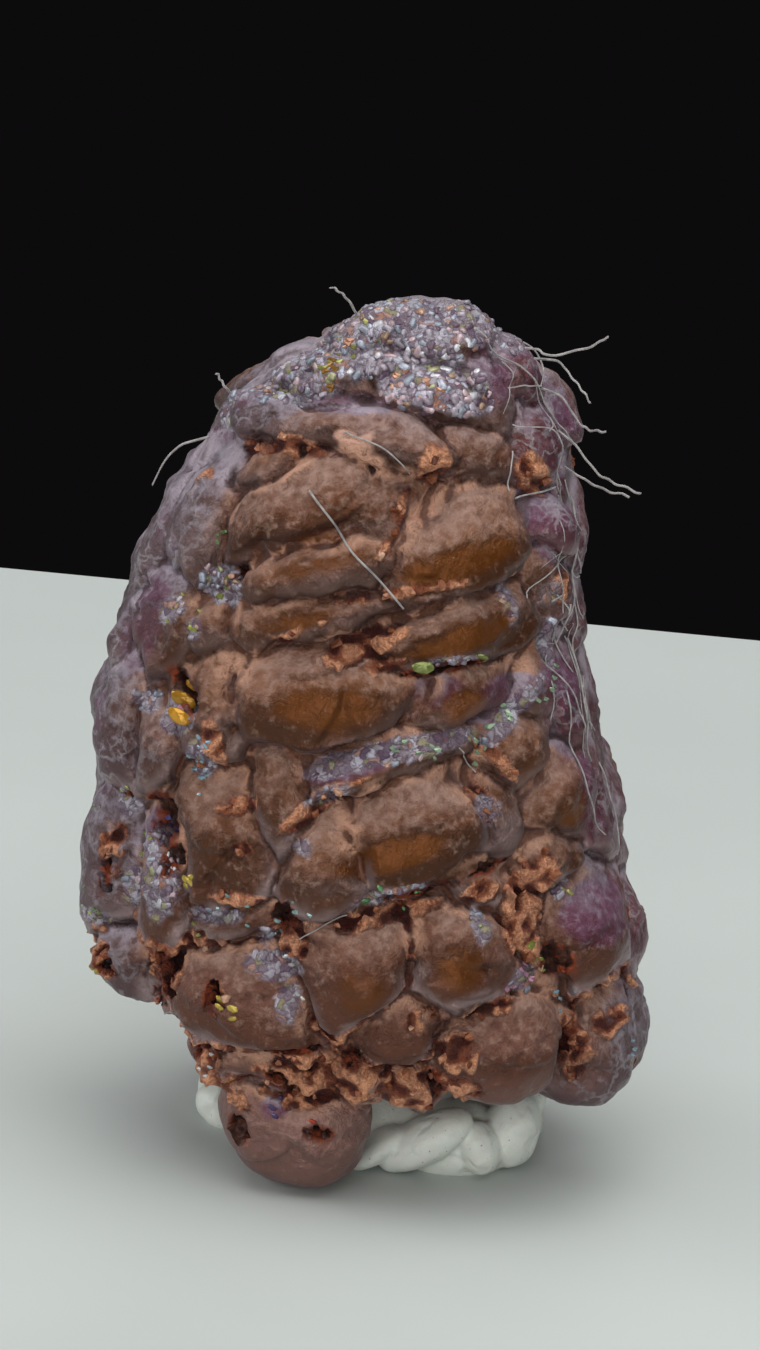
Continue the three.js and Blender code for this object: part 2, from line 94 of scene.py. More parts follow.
# Lobes: bearing, height, half length, half height, tilt, proud of the outline.
FRONT_LOBES = {
    "crown": (-15, 34.2, 3.0, 1.8, 8, 0.1),
    "crown_left": (-58, 31.6, 3.3, 1.6, 38, 0),
    "crown_knob": (60, 33.0, 1.4, 1.5, 5, 0),
    "crown_bead": (31, 32.5, 0.8, 1.3, 5, 0.3),
    "crust_front": (0, 32.7, 2.6, 1.6, -10, 0),
    "brow": (-25, 30.7, 4.1, 1.05, -3, 0.1),
    "brow_left": (-46, 31.1, 2.3, 1.3, 30, 0.05),
    "belly_top": (-42, 28.7, 2.0, 1.4, 26, -0.1),
    "belly_main": (-18, 27.3, 3.6, 2.4, 18, 0.35),
    "belly_lower": (-15, 25.6, 2.6, 1.3, 18, 0.55),
    "cheek": (24, 29.8, 1.5, 1.5, 5, 0.2),
    "side_left": (-56, 26.8, 1.6, 2.6, 14, 0.1),
    "neck_right": (56, 31.0, 1.4, 1.5, 5, -0.1),
    "shoulder_right": (56, 27.2, 1.5, 1.5, 5, 0.3),
    "shell": (21, 26.7, 2.8, 1.8, 18, 0.6),
    "shell_right": (52, 24.9, 1.2, 1.4, 5, 0),
    "flank_left": (-60, 22.7, 1.6, 2.3, 5, 0.1),
    "flank_upper": (-76, 25.5, 1.4, 2.5, -5, 0.3),
    "knee_left": (-75, 20.6, 1.2, 2.0, 5, 0.35),
    "bulge_left": (-66, 17.4, 1.6, 2.5, 5, 0.6),
    "bulge_left_inner": (-47, 17.4, 1.1, 1.8, 5, 0),
    "band_left": (-18, 23.5, 3.0, 1.5, 24, 0.2),
    "band_end": (-38, 22.6, 1.4, 1.5, 20, 0),
    "band_right": (24, 23.7, 2.9, 1.3, 18, 0.5),
    "crumb_ridge": (2, 22.6, 2.2, 0.9, 26, 0),
    "big_belly": (-8, 20.8, 3.3, 1.9, 12, 0.4),
    "belly_right": (26, 20.9, 2.3, 1.6, 18, 0.2),
    "belly_edge": (48, 21.0, 1.3, 1.5, 26, 0),
    "column_upper": (-31, 19.9, 1.5, 2.6, 5, 0),
    "flank_right": (64, 20.6, 1.1, 2.3, 5, 0),
    "sash": (9, 18.2, 3.1, 1.1, 18, 0.1),
    "sash_left": (-16, 16.5, 1.4, 1.9, 5, 0),
    "column_lower": (-31, 14.8, 1.8, 2.4, 5, 0.1),
    "loaf": (13, 15.8, 2.8, 1.6, 20, 0.7),
    "loaf_left": (-6, 14.4, 1.5, 1.8, 5, 0.5),
    "loaf_end": (30, 16.7, 1.1, 1.5, 36, 0.2),
    "fold_inner": (40, 19.0, 1.6, 1.8, 48, 0.3),
    "fold_outer": (54, 17.0, 1.7, 1.9, 45, 0.35),
    "rib_right": (72, 16.4, 1.1, 2.6, 5, -0.15),
    "knob_right": (46, 14.9, 1.3, 1.1, 25, 0),
    "side_low": (92, 14.0, 2.0, 1.8, 20, -0.35),
    "side_middle": (88, 19.0, 1.8, 2.2, -15, -0.7),
    "side_high": (86, 23.6, 2.1, 1.7, 10, -0.6),
    "side_neck": (84, 27.8, 1.9, 2.0, -20, -0.6),
    "fist_right": (58, 11.6, 2.1, 2.2, 5, 0.5),
    "fist_back": (84, 10.6, 1.7, 1.9, 5, 0.2),
    "foot_right": (62, 6.2, 2.2, 2.3, 5, 1.0),
    "foot_back": (84, 6.2, 1.6, 2.1, 5, 0.7),
    "round_left": (0, 10.6, 2.1, 2.3, 5, 0.6),
    "round_right": (20, 11.4, 2.0, 2.4, 5, 0.6),
    "round_low": (8, 8.1, 1.7, 1.4, 15, 0.4),
    "ball_right": (30, 7.3, 2.5, 2.3, 5, 0.8),
    "ball_left": (-27, 7.6, 3.1, 2.1, 0, 0.45),
    "roll_left": (-28, 5.0, 2.7, 1.5, 0, 0.3),
    "foot_front": (-26, 2.45, 2.55, 2.6, -25, 0.7),
    "wall_left": (-71, 11.4, 1.7, 3.8, 5, 0.7),
    "wall_inner": (-47, 11.9, 1.6, 2.5, 5, 0),
    "wall_notch": (-27, 11.4, 1.5, 1.6, 5, -0.5),
    "heel_left": (-68, 8.0, 1.8, 1.9, 5, 0.8),
    "heel_middle": (-44, 8.1, 1.5, 1.6, 5, -0.2),
    "heel_low": (-42, 5.3, 1.5, 1.5, 5, 0),
    "crumbs_low": (-6, 5.7, 2.0, 1.4, 5, -0.2),
    "crumbs_right": (10, 5.7, 1.8, 1.4, 5, -0.4),
    "crumbs_loaf": (25, 13.8, 1.8, 1.3, 5, 0),
    "crevice_upper": (38, 12.6, 1.3, 1.9, 5, -0.5),
    "crevice_lower": (41, 9.3, 1.2, 1.8, 5, -0.4),
}

# The hidden half, in staggered rows: height, first bearing, last bearing, lobes.
BACK_ROWS = [
    (6.6, 114, 246, 4),
    (10.4, 108, 272, 5),
    (14.4, 112, 266, 5),
    (18.6, 107, 268, 5),
    (22.8, 112, 262, 5),
    (27.0, 108, 264, 4),
    (30.6, 128, 258, 3),
]
BACK_LENGTH, BACK_HEIGHT, BACK_PROUD = 3.0, 2.5, 0.1
OVERLAP = 1.16  # lobes are this much larger than the part of them that shows
DEPTH_SHARE = 0.85  # a lobe's depth, as a share of its smaller half size

# Pits: bearing, height, half length, half height, tilt, depth.
PITS = {
    "pinhole_black": (-35, 24.7, 0.4, 0.35, -15, 1.4),
    "slot_gold": (-42, 19.8, 1.1, 0.5, -40, 1.5),
    "cave_left": (-46, 14.6, 0.7, 1.1, 5, 1.5),
    "heel_hole": (-65, 8.0, 0.7, 0.6, 5, 1.2),
    "heel_gap": (-46, 8.4, 0.6, 1.2, 5, 1.4),
    "ball_hole": (-31, 8.3, 0.5, 0.7, 5, 1.4),
    "ball_notch": (-15, 12.0, 0.6, 0.7, 5, 1.4),
    "roll_hole": (-21, 5.2, 0.5, 0.4, -30, 1.2),
    "foot_hole_left": (-34, 2.9, 0.6, 0.7, 15, 1.2),
    "foot_hole_middle": (-14, 3.2, 0.6, 0.35, -10, 1.1),
    "hollow_right": (43, 10.6, 0.9, 0.6, -35, 1.2),
    "back_hole_low": (150, 10.2, 0.7, 0.6, 20, 1.6),
    "back_hole_high": (205, 22.1, 0.8, 0.5, -15, 1.6),
    "slit_band": (22, 22.1, 1.7, 0.22, 10, 0.8),
    "slit_loaf": (12, 13.5, 1.9, 0.2, 16, 0.8),
    "slit_loaf_end": (30, 14.5, 1.0, 0.2, 20, 0.8),
    "wall_crack_high": (-61, 14.9, 0.5, 0.2, 10, 0.9),
    "wall_crack": (-63, 11.7, 0.2, 0.8, 10, 0.8),
    "cave_left_low": (-43, 13.1, 0.35, 0.7, -12, 1.2),
    "heel_notch": (-52, 7.0, 0.4, 0.6, -30, 1.1),
    "low_left_hole": (-44, 5.3, 0.45, 0.35, -35, 1.0),
    "under_ball_left": (-16, 6.7, 1.1, 0.2, 8, 0.9),
    "crumbs_hole": (-3, 6.5, 0.4, 0.4, 0, 1.0),
    "crumbs_gap": (15, 5.8, 0.35, 0.6, 20, 1.1),
    "foot_right_gap": (47, 7.4, 0.25, 0.9, -12, 1.1),
}

# Small nodules that swell out of the seams: how many in each stretch of bearings.
NODULES = {"front": (-48, 55, 70), "left": (-100, -38, 90), "right": (48, 105, 45), "back": (95, 265, 110)}

# Folds, where one lip laps over the next: bearing, height, half length, tilt, step.
FOLDS = [
    (-16, 26.7, 2.6, 26, 0.38), (-30, 28.0, 2.2, 42, 0.3), (-8, 28.2, 1.6, 62, 0.22),
    (-30, 26.2, 1.6, 50, 0.25), (14, 28.0, 1.6, 40, 0.2), (-14, 24.0, 2.2, 30, 0.25),
    (-4, 20.0, 1.6, 62, 0.2),
    (32, 6.9, 2.0, -4, 0.22), (24, 9.9, 1.6, 8, 0.15), (-6, 21.6, 2.2, 20, 0.2),
    (12, 24.2, 2.4, 16, 0.2), (50, 11.2, 1.4, 12, 0.2), (45, 17.6, 1.6, 50, 0.22),
    (-22, 7.0, 2.2, -8, 0.2), (-28, 18.6, 1.6, 70, 0.18), (-30, 13.6, 1.5, 60, 0.18),
    (60, 24.6, 1.2, 40, 0.2), (-62, 20.2, 1.8, 70, 0.2), (-58, 14.0, 2.0, 60, 0.2),
    (20, 16.4, 2.0, 22, 0.15), (-4, 3.2, 1.6, 20, 0.15), (-27, 1.9, 1.8, 35, 0.16),
    (-18, 2.4, 1.3, -50, 0.15), (-35, 1.6, 1.3, 10, 0.14),
]

# Smaller wrinkles, scattered over the whole lump.
WRINKLES = 170

# Patches of finish, and of painted golden reflection: bearing, height, half length, half height, tilt,
# strength.
CRUST = [
    (-36, 33.4, 4.2, 1.8, 28, 1), (6, 32.5, 2.5, 1.4, -14, 1), (-51, 31.8, 2.8, 1.1, 38, 1),
    (-68, 30.3, 1.6, 0.9, 44, 0.8), (-29, 34.5, 2.5, 1, 10, 0.9), (-39, 24.1, 1, 0.8, -20, 0.9),
    (-42, 22.3, 0.6, 0.6, 6, 0.5), (-42, 19, 1, 1, 6, 1), (-34, 17.5, 0.6, 0.9, 6, 1),
    (-54, 18.9, 0.7, 0.6, 6, 0.6), (12, 19, 3.7, 0.5, 14, 0.9), (42, 20.4, 2.1, 0.4, 42, 0.8),
    (0, 18.2, 1.8, 0.4, 18, 0.7), (-46, 12, 1, 1.6, 16, 0.7), (-50, 13.5, 0.8, 0.8, 6, 0.7),
    (-18, 10, 1.3, 0.6, 6, 0.9), (-15, 8.7, 0.5, 0.8, 6, 0.8), (-20, 11, 0.8, 0.6, 6, 0.5),
    (7, 13.4, 1.7, 0.3, 18, 0.9), (35, 10, 0.8, 0.6, 6, 0.9), (25, 12.3, 0.5, 0.9, 6, 0.7),
    (64, 6.2, 0.6, 0.5, 6, 0.6), (-4, 17.1, 1.2, 0.4, 28, 0.6), (30, 16.7, 0.6, 0.6, 6, 0.7),
    (12, 34.4, 2.6, 1.3, 0, 1), (-14, 34.2, 2.4, 1.4, 8, 1), (-60, 14.6, 0.8, 0.6, 20, 0.8),
    (-56, 11.4, 0.6, 0.9, 6, 0.8), (-66, 9.8, 0.7, 0.5, 6, 0.7), (-32, 11.4, 1.3, 0.4, 10, 0.8),
    (-52, 22.6, 0.8, 0.6, 20, 0.7), (-60, 24.6, 0.7, 0.7, 0, 0.7), (-10, 15.0, 0.5, 0.4, 6, 0.7),
    (50, 13.4, 0.8, 0.4, 30, 0.7), (56, 22.6, 0.5, 1.2, 10, 0.7), (38, 24.4, 0.4, 1.0, 10, 0.6),
    (23, 22.4, 1.6, 0.2, 10, 0.7), (51, 33.7, 1.4, 0.7, 6, 0.5), (52, 24.5, 1, 0.6, 26, 0.5),
]
RAW = [
    (48, 29, 0.9, 1.1, 26, 1), (12, 29.7, 0.7, 1, -14, 0.7), (2, 22.8, 1.9, 0.6, 24, 1),
    (7, 22.1, 1, 0.3, 16, 0.8), (-8, 16.5, 1.8, 0.4, 46, 1), (30, 17.2, 0.6, 1.2, 26, 0.9),
    (37, 12.9, 1.2, 1.8, -4, 1), (44, 14.3, 0.6, 0.8, 6, 0.8), (27, 13.6, 0.9, 0.5, 16, 1),
    (6, 12.6, 2.4, 0.4, 16, 0.8), (12, 8.6, 1, 0.6, 16, 0.8), (20, 7.4, 1, 0.9, 50, 1),
    (-11, 5.5, 2.4, 1.2, 6, 1), (12, 5.4, 2.1, 1, 6, 1), (-47, 8.4, 1, 1.4, 6, 1),
    (-40, 5.1, 0.8, 1, -24, 1), (-62, 12.4, 0.5, 1.5, 6, 0.6), (-65, 8.1, 0.8, 0.9, 6, 0.9),
    (59, 7.8, 1.1, 0.7, 6, 0.6), (48, 6.8, 0.6, 1.6, 6, 0.9), (-14, 11.4, 0.8, 1, 6, 0.9),
    (-36, 10.2, 0.6, 0.6, 6, 0.8), (8, 24.9, 2.6, 0.25, 12, 0.85), (-26, 16, 1, 0.4, 16, 0.8),
    (-24, 14.5, 0.5, 0.4, 6, 0.8), (58, 24.7, 0.7, 0.6, 6, 0.6), (-60, 27.3, 0.6, 0.8, 6, 0.4),
    (-34, 29.5, 2.4, 0.4, 6, 0.7), (40, 10.6, 1, 0.6, -34, 0.8), (-30, 8.3, 0.6, 0.8, 6, 0.7),
    (-8, 4.6, 2.4, 0.6, 6, 0.6), (4, 27.3, 0.35, 1.6, -18, 0.8), (-30, 18.2, 0.5, 1.6, 20, 0.6),
    (34, 18.6, 0.3, 1.6, 40, 0.8), (-36, 16.6, 0.4, 0.9, 0, 0.7), (26, 8.9, 1.6, 0.25, 12, 0.85),
    (-34, 4.3, 1.3, 0.45, -25, 0.9), (-16, 4.5, 0.9, 0.4, 20, 0.8),
    (-14, 23.0, 1.2, 0.25, 30, 0.75), (0, 17.6, 1.2, 0.25, 24, 0.7), (-26, 12.4, 1.4, 0.3, 10, 0.7),
]
VIOLET = [
    (77, 30.5, 1.7, 3.2, 6, 1), (56, 27.1, 1.4, 1.6, 6, 1), (59, 20.3, 1.4, 2.4, 6, 0.8),
    (63, 16.2, 1.1, 2.4, 6, 0.8), (38, 20.8, 2, 1, 18, 0.8), (20, 21.3, 1.2, 0.9, 6, 0.5),
    (58, 12.2, 2, 1.4, 6, 1), (68, 10, 1, 1.2, 6, 0.8), (20, 17.6, 2.4, 0.6, 18, 0.35),
    (0, 18.2, 2.1, 0.6, 18, 0.8), (32, 32.7, 1, 1.6, 6, 0.8), (63, 33.8, 2, 1, 6, 0.6),
    (-62, 21.8, 1.4, 2.4, 6, 0.7), (-70, 16.5, 1, 2.4, 6, 0.7), (-67, 24.5, 0.8, 2, 6, 0.5),
    (-84, 28, 1.6, 1.2, 36, 0.6), (-68, 29.7, 2, 0.8, 36, 0.7), (-24, 31.4, 2.2, 0.6, 6, 0.7),
    (-82, 11.3, 0.6, 2.4, 6, 0.6), (-50, 14, 0.9, 1.2, 6, 0.7), (67, 4.7, 1.6, 0.9, 6, 0.7),
    (-23, 4.1, 0.6, 0.4, 6, 0.9),
]
# Where the lower halves of the lobes carry a painted golden reflection.
GOLDEN_REFLECTION = [
    (22, 26.1, 2.5, 0.7, 16, 1), (25, 23.3, 2.5, 0.6, 18, 1), (27, 20.6, 1, 0.8, 6, 0.9),
    (-5, 20.4, 2.4, 1, 10, 0.7), (-14, 25.9, 2.5, 0.9, 18, 0.7), (7, 15, 2.4, 0.7, 18, 0.9),
    (44, 17.9, 1, 1, 36, 0.5), (53, 16.4, 1, 0.8, 36, 0.6), (0, 9.9, 1.2, 1.4, 6, 0.5),
    (20, 10.9, 1.1, 1.4, 6, 0.7), (-29, 14.7, 0.8, 1.2, 6, 0.4), (-16, 23.4, 1.6, 0.5, 16, 0.6),
    (-15, 27.8, 2.4, 1, 26, 0.4),
]


def scattered(count, lengths, heights, seed):
    """Patches over the hidden half, from the same few sizes as in front."""
    spread = np.random.default_rng(seed)
    return [
        (spread.uniform(112, 252), spread.uniform(3, 29), spread.uniform(*lengths),
         spread.uniform(*heights), spread.uniform(-40, 40), spread.uniform(0.6, 1))
        for _ in range(count)
    ]


CRUST += scattered(9, (0.8, 2.4), (0.5, 1.3), 5)
RAW += scattered(14, (0.6, 2.2), (0.4, 1.3), 6)
VIOLET += scattered(11, (1.0, 2.6), (0.9, 2.2), 7)
GOLDEN_REFLECTION += scattered(9, (1.0, 2.4), (0.6, 1.2), 8)

# ---- measuring round the lump ----


def outline_at(height):
    """Centre x, half width, centre y and half depth of the outline."""
    return (np.interp(height, OUTLINE[:, 0], OUTLINE[:, i]) for i in (1, 2, 3, 4))


def outline_point(bearing, height):
    x, width, y, depth = outline_at(height)
    angle = math.radians(bearing)
    return np.array([x + width * math.sin(angle), y - depth * math.cos(angle), height])


def unit(vector):
    return vector / np.linalg.norm(vector)


def facing(bearing, height, tilt):
    """Right, up and outward directions of the outline, the first two turned by tilt."""
    right = unit(outline_point(bearing + 1, height) - outline_point(bearing - 1, height))
    rise = outline_point(bearing, height + 1) - outline_point(bearing, height - 1)
    out = unit(np.cross(right, rise))
    up = np.cross(out, right)
    turn = math.radians(tilt)
    right = math.cos(turn) * right + math.sin(turn) * up
    return np.array([right, np.cross(out, right), out])


def seen_from(points, bearing, height, tilt):
    """Points measured along, up and out from a place on the outline."""
    return (points - outline_point(bearing, height)) @ facing(bearing, height, tilt).T


def lobe_frame(bearing, height, half_length, half_height, tilt, proud):
    """Centre, directions and half sizes of a lobe, sunk so that its crest stands proud."""
    depth = DEPTH_SHARE * min(half_length, half_height) * OVERLAP
    axes = facing(bearing, height, tilt)
    centre = outline_point(bearing, height) + axes[2] * (proud - depth)
    return centre, axes, np.array([half_length * OVERLAP, half_height * OVERLAP, depth])


def vary(seed):
    value = math.sin(seed * 12.9898) * 43758.5453
    return value - math.floor(value)


def back_lobes():
    rows = []
    for row, (height, first, last, count) in enumerate(BACK_ROWS):
        for i in range(count):
            seed = row * 17 + i * 5 + 1
            small = 0.8 if height > 28 else 1
            rows.append((
                first + (last - first) * (i + 0.3 * (vary(seed) - 0.5)) / (count - 1),
                height + 2.6 * (vary(seed + 1) - 0.5),
                BACK_LENGTH * (0.7 + 0.6 * vary(seed + 2)) * small,
                BACK_HEIGHT * (0.75 + 0.4 * vary(seed + 3)) * small,
                70 * (vary(seed + 4) - 0.5),
                BACK_PROUD + 0.7 * (vary(seed + 5) - 0.5),
            ))
    return rows


def seat(point):
    """A point of the tables as a place in the scene."""
    return (np.asarray(point, float) + SHIFT) * MM


# ---- working at the bench ----


def pick(*pieces):
    bpy.ops.object.select_all(action="DESELECT")
    for piece in pieces:
        piece.select_set(True)
    bpy.context.view_layer.objects.active = pieces[0]


def weld(pieces, name):
    """Several balls as one mesh, with its place in the mesh."""
    pick(*pieces)
    bpy.ops.object.join()
    piece = bpy.context.object
    piece.name = piece.data.name = name
    bpy.ops.object.transform_apply(location=True, rotation=True, scale=True)
    return piece


def ball(centre, axes, half, rings):
    """A ball added in its place and drawn out along its own directions."""
    bpy.ops.object.select_all(action="DESELECT")
    turn = Matrix([list(axis) for axis in axes]).transposed()
    bpy.ops.mesh.primitive_ico_sphere_add(
        subdivisions=rings, radius=MM, location=seat(centre), rotation=turn.to_euler()
    )
    piece = bpy.context.object
    piece.scale = half
    return piece


def take(piece, kind, **settings):
    """A modifier put on a piece and applied."""
    pick(piece)
    modifier = piece.modifiers.new(kind.lower(), kind)
    for key, value in settings.items():
        setattr(modifier, key, value)
    bpy.ops.object.modifier_apply(modifier=modifier.name)


def remesh(piece, voxel):
    take(piece, "REMESH", mode="VOXEL", voxel_size=voxel * MM, adaptivity=0)


def roughen(piece, name, size, strength, depth):
    """Waves or ragged edges, from soft noise of one size."""
    texture = bpy.data.textures.new(name, "CLOUDS")
    texture.noise_scale, texture.noise_depth = size * MM, depth
    take(piece, "DISPLACE", texture=texture, texture_coords="LOCAL", strength=strength * MM, mid_level=0.5)


def carve(piece, tool):
    take(piece, "BOOLEAN", object=tool, operation="DIFFERENCE", solver="MANIFOLD")
    bpy.data.objects.remove(tool)


def thin(piece, most):
    triangles = sum(len(face.vertices) - 2 for face in piece.data.polygons)
    take(piece, "DECIMATE", ratio=min(1, most / triangles))


def open_mesh(piece):
    """Into edit mode with one piece, all of it selected."""
    pick(piece)
    bpy.ops.object.mode_set(mode="EDIT")
    bpy.ops.mesh.select_all(action="SELECT")


def points_of(piece):
    points = np.empty(len(piece.data.vertices) * 3)
    piece.data.vertices.foreach_get("co", points)
    return points.reshape(-1, 3) / MM - SHIFT


def normals_of(piece):
    normals = np.empty(len(piece.data.vertices) * 3)
    piece.data.vertices.foreach_get("normal", normals)
    return normals.reshape(-1, 3)


def move_points(piece, points):
    piece.data.vertices.foreach_set("co", ((points + SHIFT) * MM).ravel())
    piece.data.update()


def lay_values(piece, name, values):
    layer = piece.data.attributes.new(name, "FLOAT", "POINT")
    layer.data.foreach_set("value", np.asarray(values, np.float32))


def smooth_step(low, high, values):
    share = np.clip((values - low) / (high - low), 0, 1)
    return share * share * (3 - 2 * share)


def patches(points, table):
    """How strongly each point lies in any patch of a table."""
    strongest = np.zeros(len(points))
    for bearing, height, half_length, half_height, tilt, strength in table:
        local = seen_from(points, bearing, height, tilt)
        reach = np.array([half_length, half_height, 1.2 + 0.5 * half_length])
        distance = np.linalg.norm(local / reach, axis=1)
        strongest = np.maximum(strongest, strength * (1 - smooth_step(0.6, 1.35, distance)))
    return strongest


def neighbour_mean(values, edges, rounds):
    """Values averaged over their neighbours, again and again."""
    count = np.bincount(edges.ravel(), minlength=len(values))[:, None]
    for _ in range(rounds):
        total = np.stack([
            np.bincount(edges[:, 0], values[edges[:, 1], i], len(values))
            + np.bincount(edges[:, 1], values[edges[:, 0], i], len(values))
            for i in range(values.shape[1])
        ], axis=1)
        values = total / np.maximum(count, 1)
    return values


def softened(values, edges, rounds):
    """The same for values that are one number each."""
    return neighbour_mean(values[:, None], edges, rounds)[:, 0]


def close_up(piece):
    """Loose specks go, and where slivers were thinned away the skin is cut back and closed."""
    highest = int(np.argmax(points_of(piece)[:, 2]))
    open_mesh(piece)
    bpy.ops.mesh.select_mode(type="VERT")
    bpy.ops.mesh.select_all(action="DESELECT")
    bpy.ops.object.mode_set(mode="OBJECT")
    piece.data.vertices[highest].select = True
    bpy.ops.object.mode_set(mode="EDIT")
    bpy.ops.mesh.select_linked()
    bpy.ops.mesh.select_all(action="INVERT")
    bpy.ops.mesh.delete(type="VERT")
    bpy.ops.mesh.select_all(action="SELECT")
    bpy.ops.mesh.remove_doubles(threshold=0.002 * MM)
    bpy.ops.mesh.dissolve_degenerate(threshold=0.001 * MM)
    bpy.ops.mesh.select_all(action="SELECT")
    bpy.ops.mesh.quads_convert_to_tris()
    for _ in range(4):  # each round can leave a few new gaps for the next
        bpy.ops.mesh.select_all(action="DESELECT")
        bpy.ops.mesh.select_non_manifold()
        bpy.ops.mesh.delete(type="VERT")
        bpy.ops.mesh.select_all(action="DESELECT")
        bpy.ops.mesh.select_non_manifold()
        bpy.ops.mesh.fill_holes(sides=0)
        bpy.ops.mesh.select_all(action="SELECT")
        bpy.ops.mesh.quads_convert_to_tris()
    bpy.ops.object.mode_set(mode="OBJECT")


def rise_to(target, points, normals):
    """How far each point lies below its target, along its normal."""
    return np.einsum("ij,ij->i", target - points, normals)


def edges_of(piece):
    edges = np.empty(len(piece.data.edges) * 2, np.int32)
    piece.data.edges.foreach_get("vertices", edges)
    return edges.reshape(-1, 2)


def clumps(points, size, seed):
    """Soft random clumps from 0 to 1 through space, a given size apart."""
    grid = points / size
    cell = np.floor(grid).astype(np.int64)
    part = grid - cell
    part = part * part * (3 - 2 * part)
    total = np.zeros(len(points))
    for corner in np.ndindex(2, 2, 2):
        key = (cell + corner) @ np.array([73856093, 19349663, 83492791]) + seed * 2654435761
        key = (key ^ (key >> 13)) * 1274126177 & 0xFFFFFFFF
        value = ((key ^ (key >> 16)) & 0xFFFF) / 65535
        weight = np.prod(np.where(corner, part, 1 - part), axis=1)
        total += weight * value
    return total


def ridges(points, size, seed):
    """Sharp wandering crests, 0 between them and 1 along them."""
    wandering = pushed(points, size * 0.8, size * 0.45, seed)
    return (1 - np.abs(2 * clumps(wandering, size, seed) - 1)) ** 2


def bearings(points):
    x, width, y, depth = outline_at(points[:, 2])
    return np.degrees(np.arctan2((points[:, 0] - x) / width, -(points[:, 1] - y) / depth))


def pushed(points, size, amount, seed):
    """Points pushed about by soft random clumps."""
    push = np.stack([clumps(points, size, seed + i) for i in (1, 2, 3)], axis=1)
    return points + amount * (push - 0.5)


def owners(points):
    """For each point its own lobe's tone, how high and how far along that lobe it lies, and how
    far it is from the wandering seam with the next lobe, as a share of the lobes' size."""
    points = pushed(pushed(points, 2.4, 1.3, 90), 0.9, 0.5, 95)
    best, next_best = np.full(len(points), FAR), np.full(len(points), FAR)
    found = np.zeros((len(points), 4))
    for i, (centre, axes, half) in enumerate(lobe_frames):
        local = (points - centre) @ axes.T / half
        reach = np.linalg.norm(local, axis=1)
        mine = reach < best
        next_best = np.where(mine, best, np.minimum(next_best, reach))
        best[mine] = reach[mine]
        found[mine, 0], found[mine, 1], found[mine, 2] = vary(i * 7 + 3), local[mine, 1], local[mine, 0]
    found[:, 3] = next_best - best
    return found


def torn_share(points, gap, sharpness):
    """Where the skin is torn open: in the patches, and along the seams, most of all low down."""
    seams = (1 - smooth_step(0.05, 0.18, gap)) * (0.16 + 0.42 * smooth_step(14, 8, points[:, 2]))
    where = np.maximum(patches(points, RAW), seams)
    broken = 0.8 * clumps(points, 1.8, 4) + 0.6 * clumps(points, 0.8, 1)
    broken = broken + 0.6 * clumps(points, 0.35, 2) - 1.0
    return smooth_step(0.5 - sharpness, 0.5 + sharpness, where + broken * smooth_step(0.02, 0.3, where))


# ---- the copper ----

lobe_rows = list(FRONT_LOBES.values()) + back_lobes()
lobe_frames = [lobe_frame(*row) for row in lobe_rows]

heart = [
    ball((x, y, height), np.eye(3), (width, depth, tall), 5)
    for x, y, height, width, depth, tall in HEART
]
lobes = [ball(centre, axes, half, 4) for centre, axes, half in lobe_frames]


FILL_MIDDLE, FILL_REACH = 19.2, 14.2  # the filling's middle height and half height
# Where it lies deeper: bearing, height, how wide, how tall, how much.
DEEPER = [(-47, 10, 18, 5.5, 0.55), (41, 10.5, 8, 4, 0.6), (5, 5.5, 30, 1.5, 0.5)]


def filling():
    """The rough body between the lobes: a ball, its points drawn out to just inside the outline."""
    bpy.ops.object.select_all(action="DESELECT")
    bpy.ops.mesh.primitive_uv_sphere_add(segments=72, ring_count=48, radius=1)
    piece = bpy.context.object
    for vertex in piece.data.vertices:
        x, y, z = vertex.co
        bearing = math.degrees(math.atan2(x, -y))
        height = FILL_MIDDLE + FILL_REACH * math.asin(max(-1, min(1, z))) * 2 / math.pi
        depth = 0.3 + 2.8 * smooth_step(8.5, 5.0, height) + 1.2 * smooth_step(31.0, 33.4, height)
        for at, level, wide, tall, more in DEEPER:
            depth += more * math.exp(-(((bearing - at) / wide) ** 2) - ((height - level) / tall) ** 2)
        middle = (outline_point(0, height) + outline_point(180, height)) / 2
        edge = outline_point(bearing, height)
        share = max(0.0, 1 - depth / np.linalg.norm(edge - middle))
        if abs(z) > 0.9999:
            share = 0.0
        vertex.co = seat(middle + (edge - middle) * share)
    return piece


nodules = []
for first, last, count in NODULES.values():
    for _ in range(count):
        size = random.uniform(0.45, 1.15)
        row = (random.uniform(first, last), random.uniform(6.5, 33), size, size * random.uniform(0.6, 1),
               random.uniform(-60, 60), random.uniform(-0.5, -0.05 if first < -60 else -0.2))
        nodules.append(ball(*lobe_frame(*row), 3))
copper = weld(heart + lobes + nodules + [filling()], "copper_lump")
remesh(copper, LUMP_VOXEL)

# The seams fill up, and each lobe's lower lip laps over what is below it, crisp or soft.
points, edges = points_of(copper), edges_of(copper)
normals = neighbour_mean(normals_of(copper), edges, 6)
side = np.exp(-(((np.abs(bearings(points)) - 88) / 26) ** 2))
own = owners(points)
for rounds, most in ((130, 0.3), (70, 0.15)):
    hollow = rise_to(neighbour_mean(points, edges, rounds), points, normals)
    share = (0.65 + 0.35 * smooth_step(0.3, 0.7, clumps(points, 4.5, 3))) * (1 - 0.5 * side)
    points += normals * (np.maximum(hollow, 0) * share + np.minimum(hollow, 0) * most)[:, None]
crisp_own, soft_own = neighbour_mean(own, edges, 2), neighbour_mean(own, edges, 14)
crisp = smooth_step(0.2, 0.4, clumps(points, 4.0, 8))[:, None]
shape = crisp * crisp_own + (1 - crisp) * soft_own
lip = np.clip(-shape[:, 1], -1, 1)
lap = np.where(lip > 0, 0.5, 0.36) * lip * (0.5 + 0.9 * shape[:, 0])
lap = lap * smooth_step(0, 0.35, 1 - np.abs(normals[:, 2])) * (1 - 0.6 * side) - 0.25 * side
shoulder = 0.32 * (smooth_step(0.0, 0.4, own[:, 3]) - 0.5)
